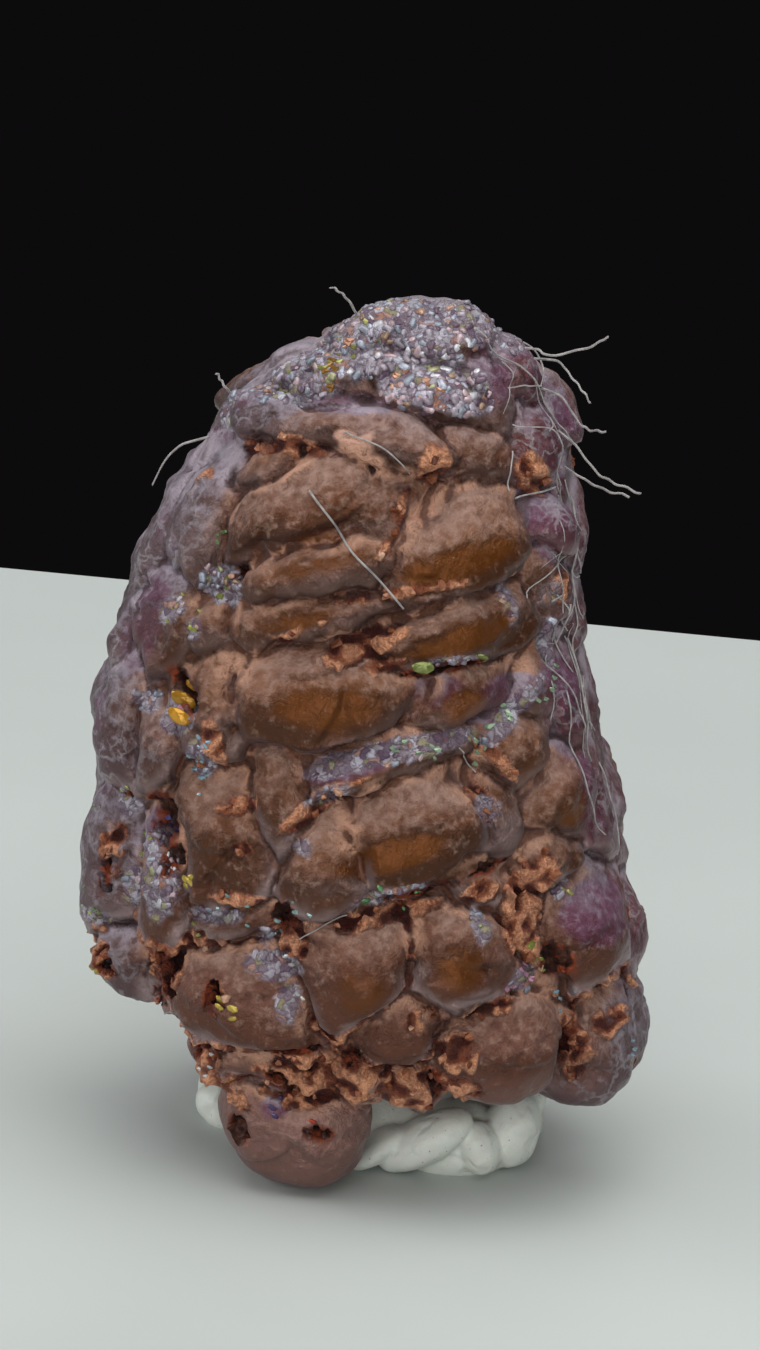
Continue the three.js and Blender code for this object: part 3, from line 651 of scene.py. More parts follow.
trench = 0.34 * (1 - smooth_step(0.01, 0.06, own[:, 3]))
lap += (shoulder - trench) * (1 - 0.7 * side)
wrinkles = [
    (random.uniform(-180, 180), random.uniform(2, 34), random.uniform(0.6, 2.0), random.normal(12, 32),
     random.uniform(0.08, 0.22))
    for _ in range(WRINKLES)
]
for bearing, height, half_length, tilt, step in FOLDS + wrinkles:
    away = np.linalg.norm(points - outline_point(bearing, height), axis=1)
    near = np.flatnonzero(away < half_length + 1.5)
    local = seen_from(points[near], bearing, height, tilt)
    rise = local[:, 1] - 0.25 * local[:, 0] ** 2 / half_length
    along = 1 - smooth_step(0.5, 1.0, np.abs(local[:, 0]) / half_length)
    above = smooth_step(-0.06, 0.06, rise) * np.exp(-np.maximum(rise, 0) / 0.7)
    groove = np.exp(-(((rise + 0.12) / 0.16) ** 2))
    lap[near] += along * step * (above - 0.6 * groove)
points += normals * lap[:, None]
move_points(copper, points)

roughen(copper, "waves", 2.2, 0.5, 1)
holes = []
for bearing, height, half_length, half_height, tilt, depth in PITS.values():
    half = (half_length, half_height, depth)
    holes.append(ball(outline_point(bearing, height), facing(bearing, height, tilt), half, 4))
pits = weld(holes, "pits")
roughen(pits, "ragged", 0.4, 0.9, 2)
remesh(copper, LUMP_VOXEL)
carve(copper, pits)

points = points_of(copper)
ragged = 0.55 * clumps(points, 0.8, 1) + 0.45 * clumps(points, 0.35, 2) - 0.5
ragged_raw = torn_share(points, owners(points)[:, 3], 0.15)
ragged_crust = smooth_step(0.3, 0.7, patches(points, CRUST) + 0.6 * ragged)
low_down = smooth_step(17, 13, points[:, 2])
torn = 0.38 * (ridges(points, 1.5, 41) - 0.42) * low_down
shreds = 0.28 * (ridges(points, 0.6, 51) - 0.4) + 0.3 * (clumps(points, 0.45, 56) - 0.5)
torn += shreds * (0.55 + 0.45 * low_down)
wormy = 0.16 * (ridges(points, 0.62, 61) - 0.4)
peel = 0.12 * (clumps(points, 0.5, 71) - 0.5) + 0.05 * (ridges(points, 0.7, 75) - 0.4)
peel = peel * (1 - ragged_raw)
points += normals_of(copper) * (ragged_raw * torn + ragged_crust * wormy + peel)[:, None]
points[:, 2] = np.maximum(points[:, 2], 0.02)
move_points(copper, points)
thin(copper, LUMP_TRIANGLES)

# What the finish needs to know at each vertex.
points, normals, edges = points_of(copper), normals_of(copper), edges_of(copper)
ragged = 0.5 * clumps(points, 0.9, 1) + 0.5 * clumps(points, 0.4, 2) - 0.5
own = neighbour_mean(owners(points), edges, 2)
grounds = {"raw": torn_share(points, own[:, 3], 0.1)}
for name, table, amount, sharp in (
    ("crust", CRUST, 0.7, 0.15), ("violet", VIOLET, 0.5, 0.3), ("gold", GOLDEN_REFLECTION, 0.4, 0.3),
):
    where = patches(points, table)
    where = where + amount * ragged * smooth_step(0.02, 0.3, where)
    grounds[name] = smooth_step(0.5 - sharp, 0.5 + sharp, where)
for name, values in grounds.items():
    lay_values(copper, name, values)
# Hollows of three sizes: rounds of averaging, the depth that counts as full, rounds of softening.
fine_hollow, middle_hollow, broad_hollow = (
    softened(rise_to(neighbour_mean(points, edges, rounds), points, normals) / full, edges, soft)
    for rounds, full, soft in ((5, 0.06, 1), (14, 0.12, 1), (40, 0.2, 2))
)
lay_values(copper, "fine_hollow", np.clip(fine_hollow, -1, 1))
lay_values(copper, "broad_hollow", np.clip(broad_hollow, -1, 1))
lay_values(copper, "own_tone", own[:, 0])
# Middle hollows: the seams, which are painted dark as shade.
lay_values(copper, "seam", np.clip(middle_hollow, 0, 1))
beside = (1 - smooth_step(0.1, 0.34, own[:, 3] + 0.25 * ragged)) * smooth_step(0.9, 0.2, middle_hollow)
# Upper rims of lobes beside a seam, paler as a painted highlight.
lay_values(copper, "rim", beside * smooth_step(0.0, 0.35, own[:, 1]))
# Lower lips beside a seam, paler as a painted reflection of the floor.
lay_values(copper, "lip", beside * smooth_step(0.0, -0.4, own[:, 1]))
in_pit = np.full(len(points), FAR)
for bearing, height, half_length, half_height, tilt, depth in PITS.values():
    local = seen_from(points, bearing, height, tilt)
    in_pit = np.minimum(in_pit, np.linalg.norm(local / (half_length, half_height, depth), axis=1))
lay_values(copper, "pit", 1 - smooth_step(0.9, 1.2, in_pit + 0.3 * ragged))
# Close beside the seams between lobes, in clumps: painted crease shade.
crease = smooth_step(0.07, 0.02, owners(points)[:, 3])
lay_values(copper, "crease", crease * smooth_step(0.3, 0.5, clumps(points, 1.6, 77)))
lay_values(copper, "own_height", np.clip(0.5 + 0.5 * own[:, 1], 0, 1))

# Ash lies on the left and low on the right, wine on the right, and both in clouds behind.
bearing = bearings(points) + 24 * (clumps(points, 3.0, 21) - 0.5)
behind = smooth_step(95, 120, np.abs(bearing))
low_right = smooth_step(42, 56, bearing) * smooth_step(9.5, 7.5, points[:, 2])
high_left, high_right = 20 * smooth_step(28.5, 30.5, points[:, 2]), 15 * smooth_step(24, 28, points[:, 2])
ash = np.maximum(smooth_step(-40, -66, bearing - high_left), 0.95 * low_right) * (1 - behind)
ash = ash + behind * smooth_step(0.5, 0.7, clumps(points, 6.0, 22))
wine = smooth_step(50, 68, bearing + high_right) * (1 - low_right) * (1 - behind)
wine = wine + behind * smooth_step(0.5, 0.7, clumps(points, 6.0, 23))
lay_values(copper, "ash", softened(ash, edges, 6))
lay_values(copper, "wine", softened(wine, edges, 6))
lay_values(copper, "height", points[:, 2] / 35)
lay_values(copper, "upward", np.clip(0.5 + 0.5 * neighbour_mean(normals, edges, 8)[:, 2], 0, 1))
close_up(copper)
bpy.ops.object.shade_smooth()
skin = BVHTree.FromPolygons([v.co for v in copper.data.vertices], [p.vertices for p in copper.data.polygons])

# ---- grains, crumbs and glints ----

# The ways that the cuts face which take the corners off a chip.
CHIP_CUTS = [(1, 1, 0.6), (-1, 0.7, 0.8), (0.6, -1, 0.9), (-0.8, -0.9, -1), (1, -0.3, -1)]
# How far each stretch of a worm reaches on and up, and how much wider it grows.
WORM_STEPS = [(0.3, -0.1, 1.5), (0.45, 0.25, 1.15), (0.5, 0.35, 1.0), (0.45, 0.05, 0.9), (0.3, -0.35, 0.65)]


def master(kind):
    """One small grain, worked from a primitive; its points and triangles."""
    bpy.ops.object.select_all(action="DESELECT")
    if kind == "bead":
        bpy.ops.mesh.primitive_ico_sphere_add(subdivisions=2, radius=1)
    elif kind == "chip":
        bpy.ops.mesh.primitive_cube_add(size=1.7)
    else:
        bpy.ops.mesh.primitive_circle_add(
            vertices=6, radius=0.5, fill_type="NGON", location=(-1, 0, 0), rotation=(0, math.pi / 2, 0)
        )
    piece = bpy.context.object
    bpy.ops.object.transform_apply(location=True, rotation=True, scale=True)
    open_mesh(piece)
    if kind == "chip":
        for normal in CHIP_CUTS:
            bpy.ops.mesh.select_all(action="SELECT")
            at = unit(np.array(normal)) * 0.85
            bpy.ops.mesh.bisect(plane_co=at, plane_no=normal, use_fill=True, clear_outer=True)
    elif kind == "worm":
        for reach, rise, size in WORM_STEPS:
            bpy.ops.mesh.extrude_region_move(TRANSFORM_OT_translate={"value": (reach, rise, 0.1 * rise)})
            bpy.ops.transform.resize(value=(size, size, size))
        bpy.ops.mesh.select_all(action="SELECT")
        bpy.ops.mesh.normals_make_consistent(inside=False)
    else:
        bpy.ops.transform.vertex_random(offset=0.22, seed=4)
    bpy.ops.mesh.select_all(action="SELECT")
    bpy.ops.mesh.quads_convert_to_tris()
    bpy.ops.object.mode_set(mode="OBJECT")
    mesh = piece.data
    corners = np.array([v.co for v in mesh.vertices])
    faces = np.array([p.vertices for p in mesh.polygons])
    bpy.data.objects.remove(piece)
    return corners - corners.mean(axis=0), faces


MASTERS = {kind: master(kind) for kind in ("bead", "worm", "chip")}


def strewn(name, grains, smooth):
    """One mesh of many grains: kind, place, outward direction, spin, half sizes, tint."""
    corners, faces, tints, start = [], [], [], 0
    for kind, place, out, spin, sizes, tint in grains:
        shape, triangles = MASTERS[kind]
        side = unit(np.cross(out, (0.31, 0.47, 0.83)))
        other = np.cross(out, side)
        first = math.cos(spin) * side + math.sin(spin) * other
        axes = np.array([first, np.cross(out, first), out])
        corners.append((shape * sizes) @ axes + place)
        faces.append(triangles + start)
        tints.append(np.tile([*tint, 1.0], (len(shape), 1)))
        start += len(shape)
    corners = (np.concatenate(corners) + SHIFT) * MM
    mesh = bpy.data.meshes.new(name)
    mesh.from_pydata(corners.tolist(), [], np.concatenate(faces).tolist())
    layer = mesh.color_attributes.new("tint", "FLOAT_COLOR", "POINT")
    layer.data.foreach_set("color", np.concatenate(tints).astype(np.float32).ravel())
    piece = bpy.data.objects.new(name, mesh)
    bpy.context.scene.collection.objects.link(piece)
    pick(piece)
    if smooth:
        bpy.ops.object.shade_smooth()
    else:
        bpy.ops.object.shade_flat()
    return piece


def spaced(weights, least, gap, seed):
    """Vertices of the lump where a weight is high enough, no nearer each other than a gap."""
    order = np.random.default_rng(seed).permutation(np.flatnonzero(weights > least))
    cells, kept = {}, []
    for i in order:
        cell = tuple(np.floor(points[i] / gap).astype(int))
        around = [cells.get((cell[0] + a, cell[1] + b, cell[2] + c))
                  for a in (-1, 0, 1) for b in (-1, 0, 1) for c in (-1, 0, 1)]
        if all(j is None or np.linalg.norm(points[i] - points[j]) >= gap for j in around):
            cells[cell] = i
            kept.append(i)
    return kept


def rgb(red, green, blue):
    """A colour as a paint chart gives it, 0 to 255, as light."""
    share = np.array([red, green, blue]) / 255
    return tuple(np.where(share <= 0.04045, share / 12.92, ((share + 0.055) / 1.055) ** 2.4))


def dealt(tints, shares, count, seed):
    shares = np.array(shares, float)
    picks = np.random.default_rng(seed).choice(len(tints), count, p=shares / shares.sum())
    return [tints[i] for i in picks]


RIND = [rgb(*colour) for colour in (
    (168, 160, 172), (146, 134, 146), (172, 176, 190), (206, 204, 210), (184, 160, 166),
    (164, 164, 124), (160, 132, 108), (190, 150, 130), (112, 92, 108), (146, 152, 166),
)]
# A band along the front of the crown: there the rind is thicker, its grains larger, and lighter as a painted
# highlight.
bright_band = np.exp(-(((bearings(points) - 10) / 34) ** 2) - ((points[:, 2] - 31.9) / 1.7) ** 2)
below_crown = smooth_step(30, 28, points[:, 2])
thick = grounds["crust"] * (0.26 + 0.6 * clumps(points, 1.1, 81) + bright_band - 0.1 * below_crown)
kept = spaced(thick, 0.5, 0.25, 11)
tints = dealt(RIND, (26, 24, 10, 6, 12, 3, 3, 2, 12, 10), len(kept), 12)
grains = []
for i, tint in zip(kept, tints):
    kind = random.choice(["bead", "worm", "chip"], p=[0.4, 0.55, 0.05])
    size = random.uniform(0.11, 0.22) * (1 + 0.15 * bright_band[i])
    sizes = size * np.array([1, 1, 0.6] if kind == "worm" else [1, random.uniform(0.6, 1), 0.4])
    place = points[i] + normals[i] * random.uniform(-0.08, 0)
    out = unit(normals[i] + random.normal(0, 0.14, 3))
    # brighter grains in the band: a painted highlight
    tint = np.clip(np.array(tint) * (0.95 + 0.45 * bright_band[i]), 0, 1)
    grains.append((kind, place, out, random.uniform(0, 2 * math.pi), sizes, tint))
rind = strewn("crystal_rind", grains, True)

ORE = [rgb(*colour) for colour in (
    (176, 112, 80), (200, 140, 108), (140, 80, 50), (112, 56, 32), (204, 160, 134),
)]
kept = spaced(grounds["raw"] * patches(points, RAW), 0.6, 0.9, 13)
tints = dealt(ORE, (10, 6, 8, 5, 2), len(kept), 14)
crumbs = []
for i, tint in zip(kept, tints):
    sizes = random.uniform(0.1, 0.2) * random.uniform(0.5, 1.4, 3)
    out = unit(normals[i] + random.normal(0, 0.5, 3))
    crumbs.append(("chip", points[i] + normals[i] * 0.02, out, random.uniform(0, 6.28), sizes, tint))
ore = strewn("raw_copper_crumbs", crumbs, False)


def on_skin(bearing, height, lift):
    """The point over the lump's skin at a bearing and height."""
    middle = outline_point(bearing, height)
    out = facing(bearing, height, 0)[2]
    place = skin.ray_cast(Vector(seat(middle + out * 3)), Vector(-out))[0]
    return middle if place is None else np.array(place) / MM - SHIFT + out * lift


# Glints: tint, half length, count, spread, then where.
GLINTS = [
    ((206, 150, 46), 0.6, 1, 0.1, [(-42, 19.5), (-40, 19.0), (-43, 20.0)]),
    ((196, 172, 76), 0.26, 2, 0.2,
     [(-30, 8.3), (-31, 8.7), (-26, 7.9), (-68, 7.5), (-38, 12.4), (-36, 12.7)]),
    ((146, 152, 72), 0.24, 3, 0.25, [(40, 10.8), (38, 11.2), (42, 10.5), (-42, 22.6), (-39, 24.0)]),
    ((134, 144, 78), 0.46, 1, 0.15, [(17, 22.2), (30, 22.5)]),
    ((120, 176, 118), 0.26, 1, 0.2, [(2, 13.2), (5, 13.4), (10, 13.3), (14, 13.6)]),
    ((158, 182, 152), 0.24, 3, 0.35,
     [(29, 19.1), (34, 19.6), (40, 20.2), (50, 20.8), (58, 21.0), (19, 19.0), (12, 19.2)]),
    ((148, 176, 190), 0.2, 4, 0.4, [(-34, 17.5), (-36, 17.1), (-32, 17.9), (45, 9.2), (64, 6.2)]),
    ((206, 150, 176), 0.2, 4, 0.4, [(-40, 19.0), (-42, 18.8), (33, 9.9), (34, 9.4)]),
    ((132, 158, 104), 0.18, 2, 0.3,
     [(-68, 14.1), (-68, 10.8), (-64, 10.4), (-74, 9.3), (-46, 26.0), (-44, 25.4)]),
    ((176, 174, 96), 0.2, 3, 0.35, [(-42, 33.7), (-36, 32.4), (-42, 32.0), (-56, 31.5)]),
    ((176, 126, 62), 0.24, 3, 0.25, [(-36, 32.2), (-40, 32.6)]),
    ((208, 150, 120), 0.2, 3, 0.3, [(10, 32.2), (3, 32.0), (-10, 32.6), (-41, 33.2)]),
    ((214, 214, 216), 0.18, 3, 0.35, [(-13, 9.0), (-14, 10.0), (-39, 5.4), (-42, 5.5)]),
    ((140, 170, 168), 0.18, 3, 0.4, [(-10, 12.6), (-16, 11.2), (-26, 11.9), (-56, 11.4), (-32, 11.6)]),
    ((170, 168, 100), 0.2, 3, 0.35,
     [(-60, 14.4), (-54, 13.0), (-66, 9.6), (-36, 11.0), (50, 13.4), (-52, 22.8)]),
    ((84, 70, 118), 0.24, 4, 0.3, [(-23, 4.0), (-46, 14.4)]),
    ((176, 60, 36), 0.22, 3, 0.2, [(-14, 3.3)]),
]
glints = []
for tint, length, count, spread, places in GLINTS:
    for bearing, height in places:
        for _ in range(count):
            spot = (bearing + random.normal(0, spread * 4), height + random.normal(0, spread))
            place = on_skin(*spot, 0.35 if length > 0.4 else 0)
            out = facing(*spot, 0)[2]
            sizes = length * random.uniform(0.6, 1.1) * np.array([0.9, 0.5, 0.3])
            shade = np.array(rgb(*tint)) * random.uniform(0.6, 1.0)
            out = unit(out + random.normal(0, 0.25, 3))
            kind = "bead" if length > 0.25 else "chip"
            glints.append((kind, place, out, random.uniform(-0.6, 0.6), sizes, np.clip(shade, 0, 1)))
glint = strewn("bright_glints", glints, False)

# ---- the lint ----

FREE_FIBRES = {
    "lint_fibre_1": [
        (3.2, -1.0, 33.5), (3.7, -1.8, 33.7), (4.2, -2.1, 33.6), (5.6, -2.2, 34.1), (6.3, -2.2, 34.6),
    ],
    "lint_fibre_2": [
        (3.6, -0.6, 33.0), (4.5, -1.4, 33.2), (5.0, -1.7, 32.8), (5.5, -1.8, 32.3), (5.9, -1.8, 31.8),
    ],
    "lint_fibre_3": [
        (4.0, -0.8, 31.9), (4.8, -1.5, 31.8), (5.5, -1.8, 31.0), (6.0, -1.8, 30.7), (6.6, -1.8, 30.7),
    ],
    "lint_fibre_4": [
        (4.8, -0.6, 30.2), (5.5, -1.3, 29.9), (6.4, -1.6, 29.0), (7.2, -1.6, 28.6), (8.2, -1.6, 28.3),
    ],
    "lint_fibre_5": [
        (5.2, 0.0, 28.6), (6.0, -0.6, 28.35), (6.9, -1.0, 28.1), (7.8, -1.1, 28.0),
    ],
    "lint_fibre_6": [
        (-3.1, 0.2, 33.4), (-3.7, -0.2, 34.4), (-4.1, -0.3, 34.8), (-4.5, -0.3, 35.0),
    ],
    "lint_fibre_7": [
        (-7.4, 0.4, 29.6), (-8.1, -0.1, 30.4), (-8.4, -0.2, 30.8), (-8.6, -0.2, 31.1),
    ],
    "lint_fibre_8": [
        (-8.6, 0.2, 28.4), (-9.7, 0, 28.0), (-10.3, 0, 27.3), (-10.7, 0, 26.3),
    ],
}
# Fibres that lie on the lump: thickness, lift, then bearings and heights.
LYING_FIBRES = [
    (0.09, 0.08, [(-18, 30.3), (-4, 29.9), (6, 29.2)]),
    (0.12, 0.15, [(-20, 28.1), (-12, 27.2), (-6, 26.3), (2, 25.4), (10, 24.3)]),
    (0.1, 0.2, [(82, 33.6), (72, 32.8), (60, 32.1)]),
    (0.1, 0.15, [(26, 34.0), (43, 33.2), (57, 32.3), (74, 30.7), (86, 29.6)]),
    (0.08, 0.12, [(42, 33.1), (44, 32.6), (40, 32.1), (35, 31.3)]),
    (0.08, 0.12, [(40, 32.2), (50, 32.2), (63, 32.1)]),
    (0.08, 0.15, [(39, 30.9), (60, 30.5), (63, 29.5), (66, 28.1)]),
    (0.09, 0.12, [(38, 28.6), (38, 29.3), (40, 30.0)]),
    (0.1, 0.15, [(40, 28.3), (50, 28.4), (64, 28.4)]),
    (0.11, 0.2, [(78, 27.7), (74, 25.9), (70, 24.0), (62, 22.6), (55, 22.6)]),
    (0.09, 0.12, [(60, 20.7), (60, 18.7), (58, 16.8), (66, 14.9)]),
    (0.08, 0.12, [(44, 24.6), (51, 25.4), (60, 25.9)]),
    (0.08, 0.08, [(-56, 5.6), (-52, 6.2), (-48, 6.5)]),
    (0.08, 0.08, [(25, 19.1), (28, 18.6), (30, 18.1)]),
    (0.1, 0.15, [(70, 22.4), (68, 20.0), (68, 17.7)]),
    (0.09, 0.15, [(73, 17.5), (76, 15.8), (74, 13.8)]),
    (0.09, 0.12, [(55, 22.0), (62, 20.6), (66, 18.9)]),
    (0.08, 0.08, [(-12, 11.3), (-6, 12.1), (-2, 12.5)]),
]
# A web of finer ones over the right flank.
WEB_BEARINGS, WEB_HEIGHTS, WEB_COUNT = (52, 82), (19, 31.5), 20
FIBRE_SIDES = 5
STEPS = 6  # between two knots of a fibre


def through(knots):
    """A smooth line through some points."""
    knots = np.array(knots, float)
    ends = np.vstack([2 * knots[0] - knots[1], knots, 2 * knots[-1] - knots[-2]])
    line = []
    for i in range(len(knots) - 1):
        a, b, c, d = ends[i:i + 4]
        for t in np.arange(STEPS) / STEPS:
            square, cube = (2 * a - 5 * b + 4 * c - d) * t**2, (3 * b - a - 3 * c + d) * t**3
            line.append(0.5 * ((2 * b) + (c - a) * t + square + cube))
    return np.array(line + [knots[-1]])


def fibre(line, thickness):
    """A thin tube pulled along a line: a small ring, extruded from point to point."""
    bpy.ops.object.select_all(action="DESELECT")
    start = Vector(line[1] - line[0]).to_track_quat("Z", "Y").to_euler()
    bpy.ops.mesh.primitive_circle_add(
        vertices=FIBRE_SIDES, radius=thickness / 2 * MM, fill_type="NGON",
        location=seat(line[0]), rotation=start,
    )
    piece = bpy.context.object
    bpy.ops.object.transform_apply(location=True, rotation=True, scale=True)
    open_mesh(piece)
    for before, after in zip(line[:-1], line[1:]):
        bpy.ops.mesh.extrude_region_move(TRANSFORM_OT_translate={"value": Vector((after - before) * MM)})
    bpy.ops.mesh.select_all(action="SELECT")
    bpy.ops.mesh.normals_make_consistent(inside=False)
    bpy.ops.object.mode_set(mode="OBJECT")
    return piece


fibres = []
for knots in FREE_FIBRES.values():
    line = through(knots)
    sway = 0.06 * np.sin(np.arange(len(line)) * 1.3)[:, None] * np.array([0.3, 1, 0.5])
    fibres.append(fibre(line + sway * np.linspace(0, 1, len(line))[:, None], 0.1))
web = []
for _ in range(WEB_COUNT):
    middle = np.array([random.uniform(*WEB_BEARINGS), random.uniform(*WEB_HEIGHTS)])
    reach = random.uniform(0.8, 2.2)
    way = np.array([random.normal(0, 4.0), random.choice([-1, 1]) * reach])
    curl = np.array([random.normal(0, 5.0), random.normal(0, 0.4)])
    spots = [middle + way * k + curl * k * k for k in (-1, 0, 1)]
    web.append((random.uniform(0.06, 0.1), 0.05, spots))
for thickness, lift, spots in LYING_FIBRES + web:
    line = np.array([on_skin(bearing, height, lift) for bearing, height in through(spots)])
    line[1:-1] = 0.5 * line[1:-1] + 0.25 * (line[:-2] + line[2:])
    fibres.append(fibre(line, 0.75 * thickness))
lint = weld(fibres, "lint")
pick(lint)
bpy.ops.object.shade_smooth()

# ---- the putty ----

# Pinched knuckles: x, y, height, half width, half depth, half height, roll.
KNUCKLES = [
    (0.2, 1.4, 0, 5.9, 4.3, 3.5, 0), (-5.0, 2.6, 0, 1.9, 2.3, 2.7, 0),
    (-5.4, 0.6, 0.5, 1.5, 1.4, 1.1, 15), (-3.6, -1.0, 0.3, 1.4, 1.2, 1.2, -10),
    (5.0, 2.8, 0, 2.1, 2.1, 3.0, 0), (2.0, 4.8, 0, 2.4, 1.8, 2.7, 0), (-2.4, 4.8, 0, 2.4, 1.8, 2.8, 0),
    (0.5, -3.4, 0.95, 1.4, 1.1, 0.55, -40), (2.35, -3.35, 1.45, 2.1, 1.3, 0.92, -34),
    (4.55, -3.0, 1.2, 0.85, 1.15, 1.15, -20), (5.75, -1.8, 1.65, 1.15, 1.5, 1.6, 8),
    (6.0, 0.2, 2.3, 1.1, 1.5, 1.1, 0), (3.4, -1.4, 0.8, 2.6, 2.2, 1.6, 0),
]
knuckles = []
for x, y, height, width, depth, tall, roll in KNUCKLES:
    turn = math.radians(roll)
    right, rising = (math.cos(turn), 0, -math.sin(turn)), (math.sin(turn), 0, math.cos(turn))
    axes = np.array([right, (0, 1, 0), rising])
    knuckles.append(ball((x, y, height), axes, (width, depth, tall), 5 if width > 4 else 4))
putty = weld(knuckles, "mounting_putty_pad")
remesh(putty, PUTTY_VOXEL)
roughen(putty, "kneading", 1.3, 0.2, 1)
take(putty, "SMOOTH", factor=0.5, iterations=2)

# The lump, swollen a little, presses its seat into the putty.
press = copper.copy()
press.data = copper.data.copy()
bpy.context.scene.collection.objects.link(press)
remesh(press, SEAT_VOXEL)
take(press, "DISPLACE", strength=0.06 * MM, mid_level=0)
carve(putty, press)
thin(putty, PUTTY_TRIANGLES)
open_mesh(putty)
bpy.ops.mesh.bisect(
    plane_co=(0, 0, 0), plane_no=(0, 0, 1), use_fill=True, clear_inner=True, threshold=1e-7
)
bpy.ops.object.mode_set(mode="OBJECT")
bpy.ops.object.shade_smooth()

# ---- finishes ----


class Finish:
    """A material made of nodes; each call adds one node and gives its output."""

    def __init__(self, name, **values):
        self.material = bpy.data.materials.new(name)
        self.material.use_nodes = True
        self.tree = self.material.node_tree
        self.shader = self.tree.nodes["Principled BSDF"]
        for socket, value in values.items():
            self.shader.inputs[socket.replace("_", " ")].default_value = value
        self.place = self.add("ShaderNodeTexCoord").outputs["Object"]

    def add(self, kind, inputs=None, **settings):
        node = self.tree.nodes.new(kind)
        for key, value in settings.items():
            setattr(node, key, value)
        for key, value in (inputs or {}).items():
            if isinstance(value, bpy.types.NodeSocket):
                self.tree.links.new(value, node.inputs[key])
            else:
                node.inputs[key].default_value = value
        return node

    def value(self, name, output="Fac"):
        return self.add("ShaderNodeAttribute", attribute_name=name).outputs[output]

    def noise(self, size, detail=3.0, roughness=0.55, distortion=0.0):
        inputs = {"Vector": self.place, "Scale": 1 / (size * MM), "Detail": detail,
                  "Roughness": roughness, "Distortion": distortion}
        return self.add("ShaderNodeTexNoise", inputs).outputs["Fac"]

    def cells(self, size, feature, output, place):
        inputs = {"Vector": place, "Scale": 1 / (size * MM)}
        return self.add("ShaderNodeTexVoronoi", inputs, feature=feature).outputs[output]

    def wandering(self, size, amount):
        """Places pushed about by soft noise, so that a pattern laid on them wanders."""
        inputs = {"Vector": self.place, "Scale": 1 / (size * MM), "Detail": 2}
        push = self.add("ShaderNodeTexNoise", inputs).outputs["Color"]
        for operation, inputs in (
            ("SUBTRACT", {1: (0.5, 0.5, 0.5)}), ("SCALE", {"Scale": amount * MM}), ("ADD", {1: self.place}),
        ):
            push = self.add("ShaderNodeVectorMath", {0: push, **inputs}, operation=operation).outputs[0]
        return push

    def parts(self, colour):
        return self.add("ShaderNodeSeparateColor", {"Color": colour}).outputs

    def maths(self, operation, a, b):
        return self.add("ShaderNodeMath", {0: a, 1: b}, operation=operation).outputs[0]

    def plus(self, a, b):
        return self.maths("ADD", a, b)

    def minus(self, a, b):
        return self.maths("SUBTRACT", a, b)

    def times(self, a, b):
        return self.maths("MULTIPLY", a, b)

    def most(self, a, b):
        return self.maths("MAXIMUM", a, b)

    def step(self, value, low, high, to_low=0.0, to_high=1.0):
        inputs = {"Value": value, "From Min": low, "From Max": high, "To Min": to_low, "To Max": to_high}
        return self.add("ShaderNodeMapRange", inputs, interpolation_type="SMOOTHSTEP").outputs[0]

    def mix(self, share, first, second, blend="MIX"):
        """Two colours mixed, each an output or a paint chart's three numbers."""
        first, second = ((*rgb(*c), 1) if isinstance(c, tuple) else c for c in (first, second))
        inputs = {0: share, 6: first, 7: second}
        return self.add("ShaderNodeMix", inputs, data_type="RGBA", blend_type=blend).outputs[2]

    def coats(self, colour, *layers):
        """Coats laid over a colour, one after another: how much of each, and its colour."""
        for share, coat in layers:
            colour = self.mix(share, colour, coat)
        return colour

    def bump(self, height, strength, distance, normal=None):
        inputs = {"Height": height, "Strength": strength, "Distance": distance * MM}
        if normal:
            inputs["Normal"] = normal
        return self.add("ShaderNodeBump", inputs).outputs[0]

    def set(self, **sockets):
        for socket, output in sockets.items():
            self.tree.links.new(output, self.shader.inputs[socket.replace("_", " ")])
        return self.material


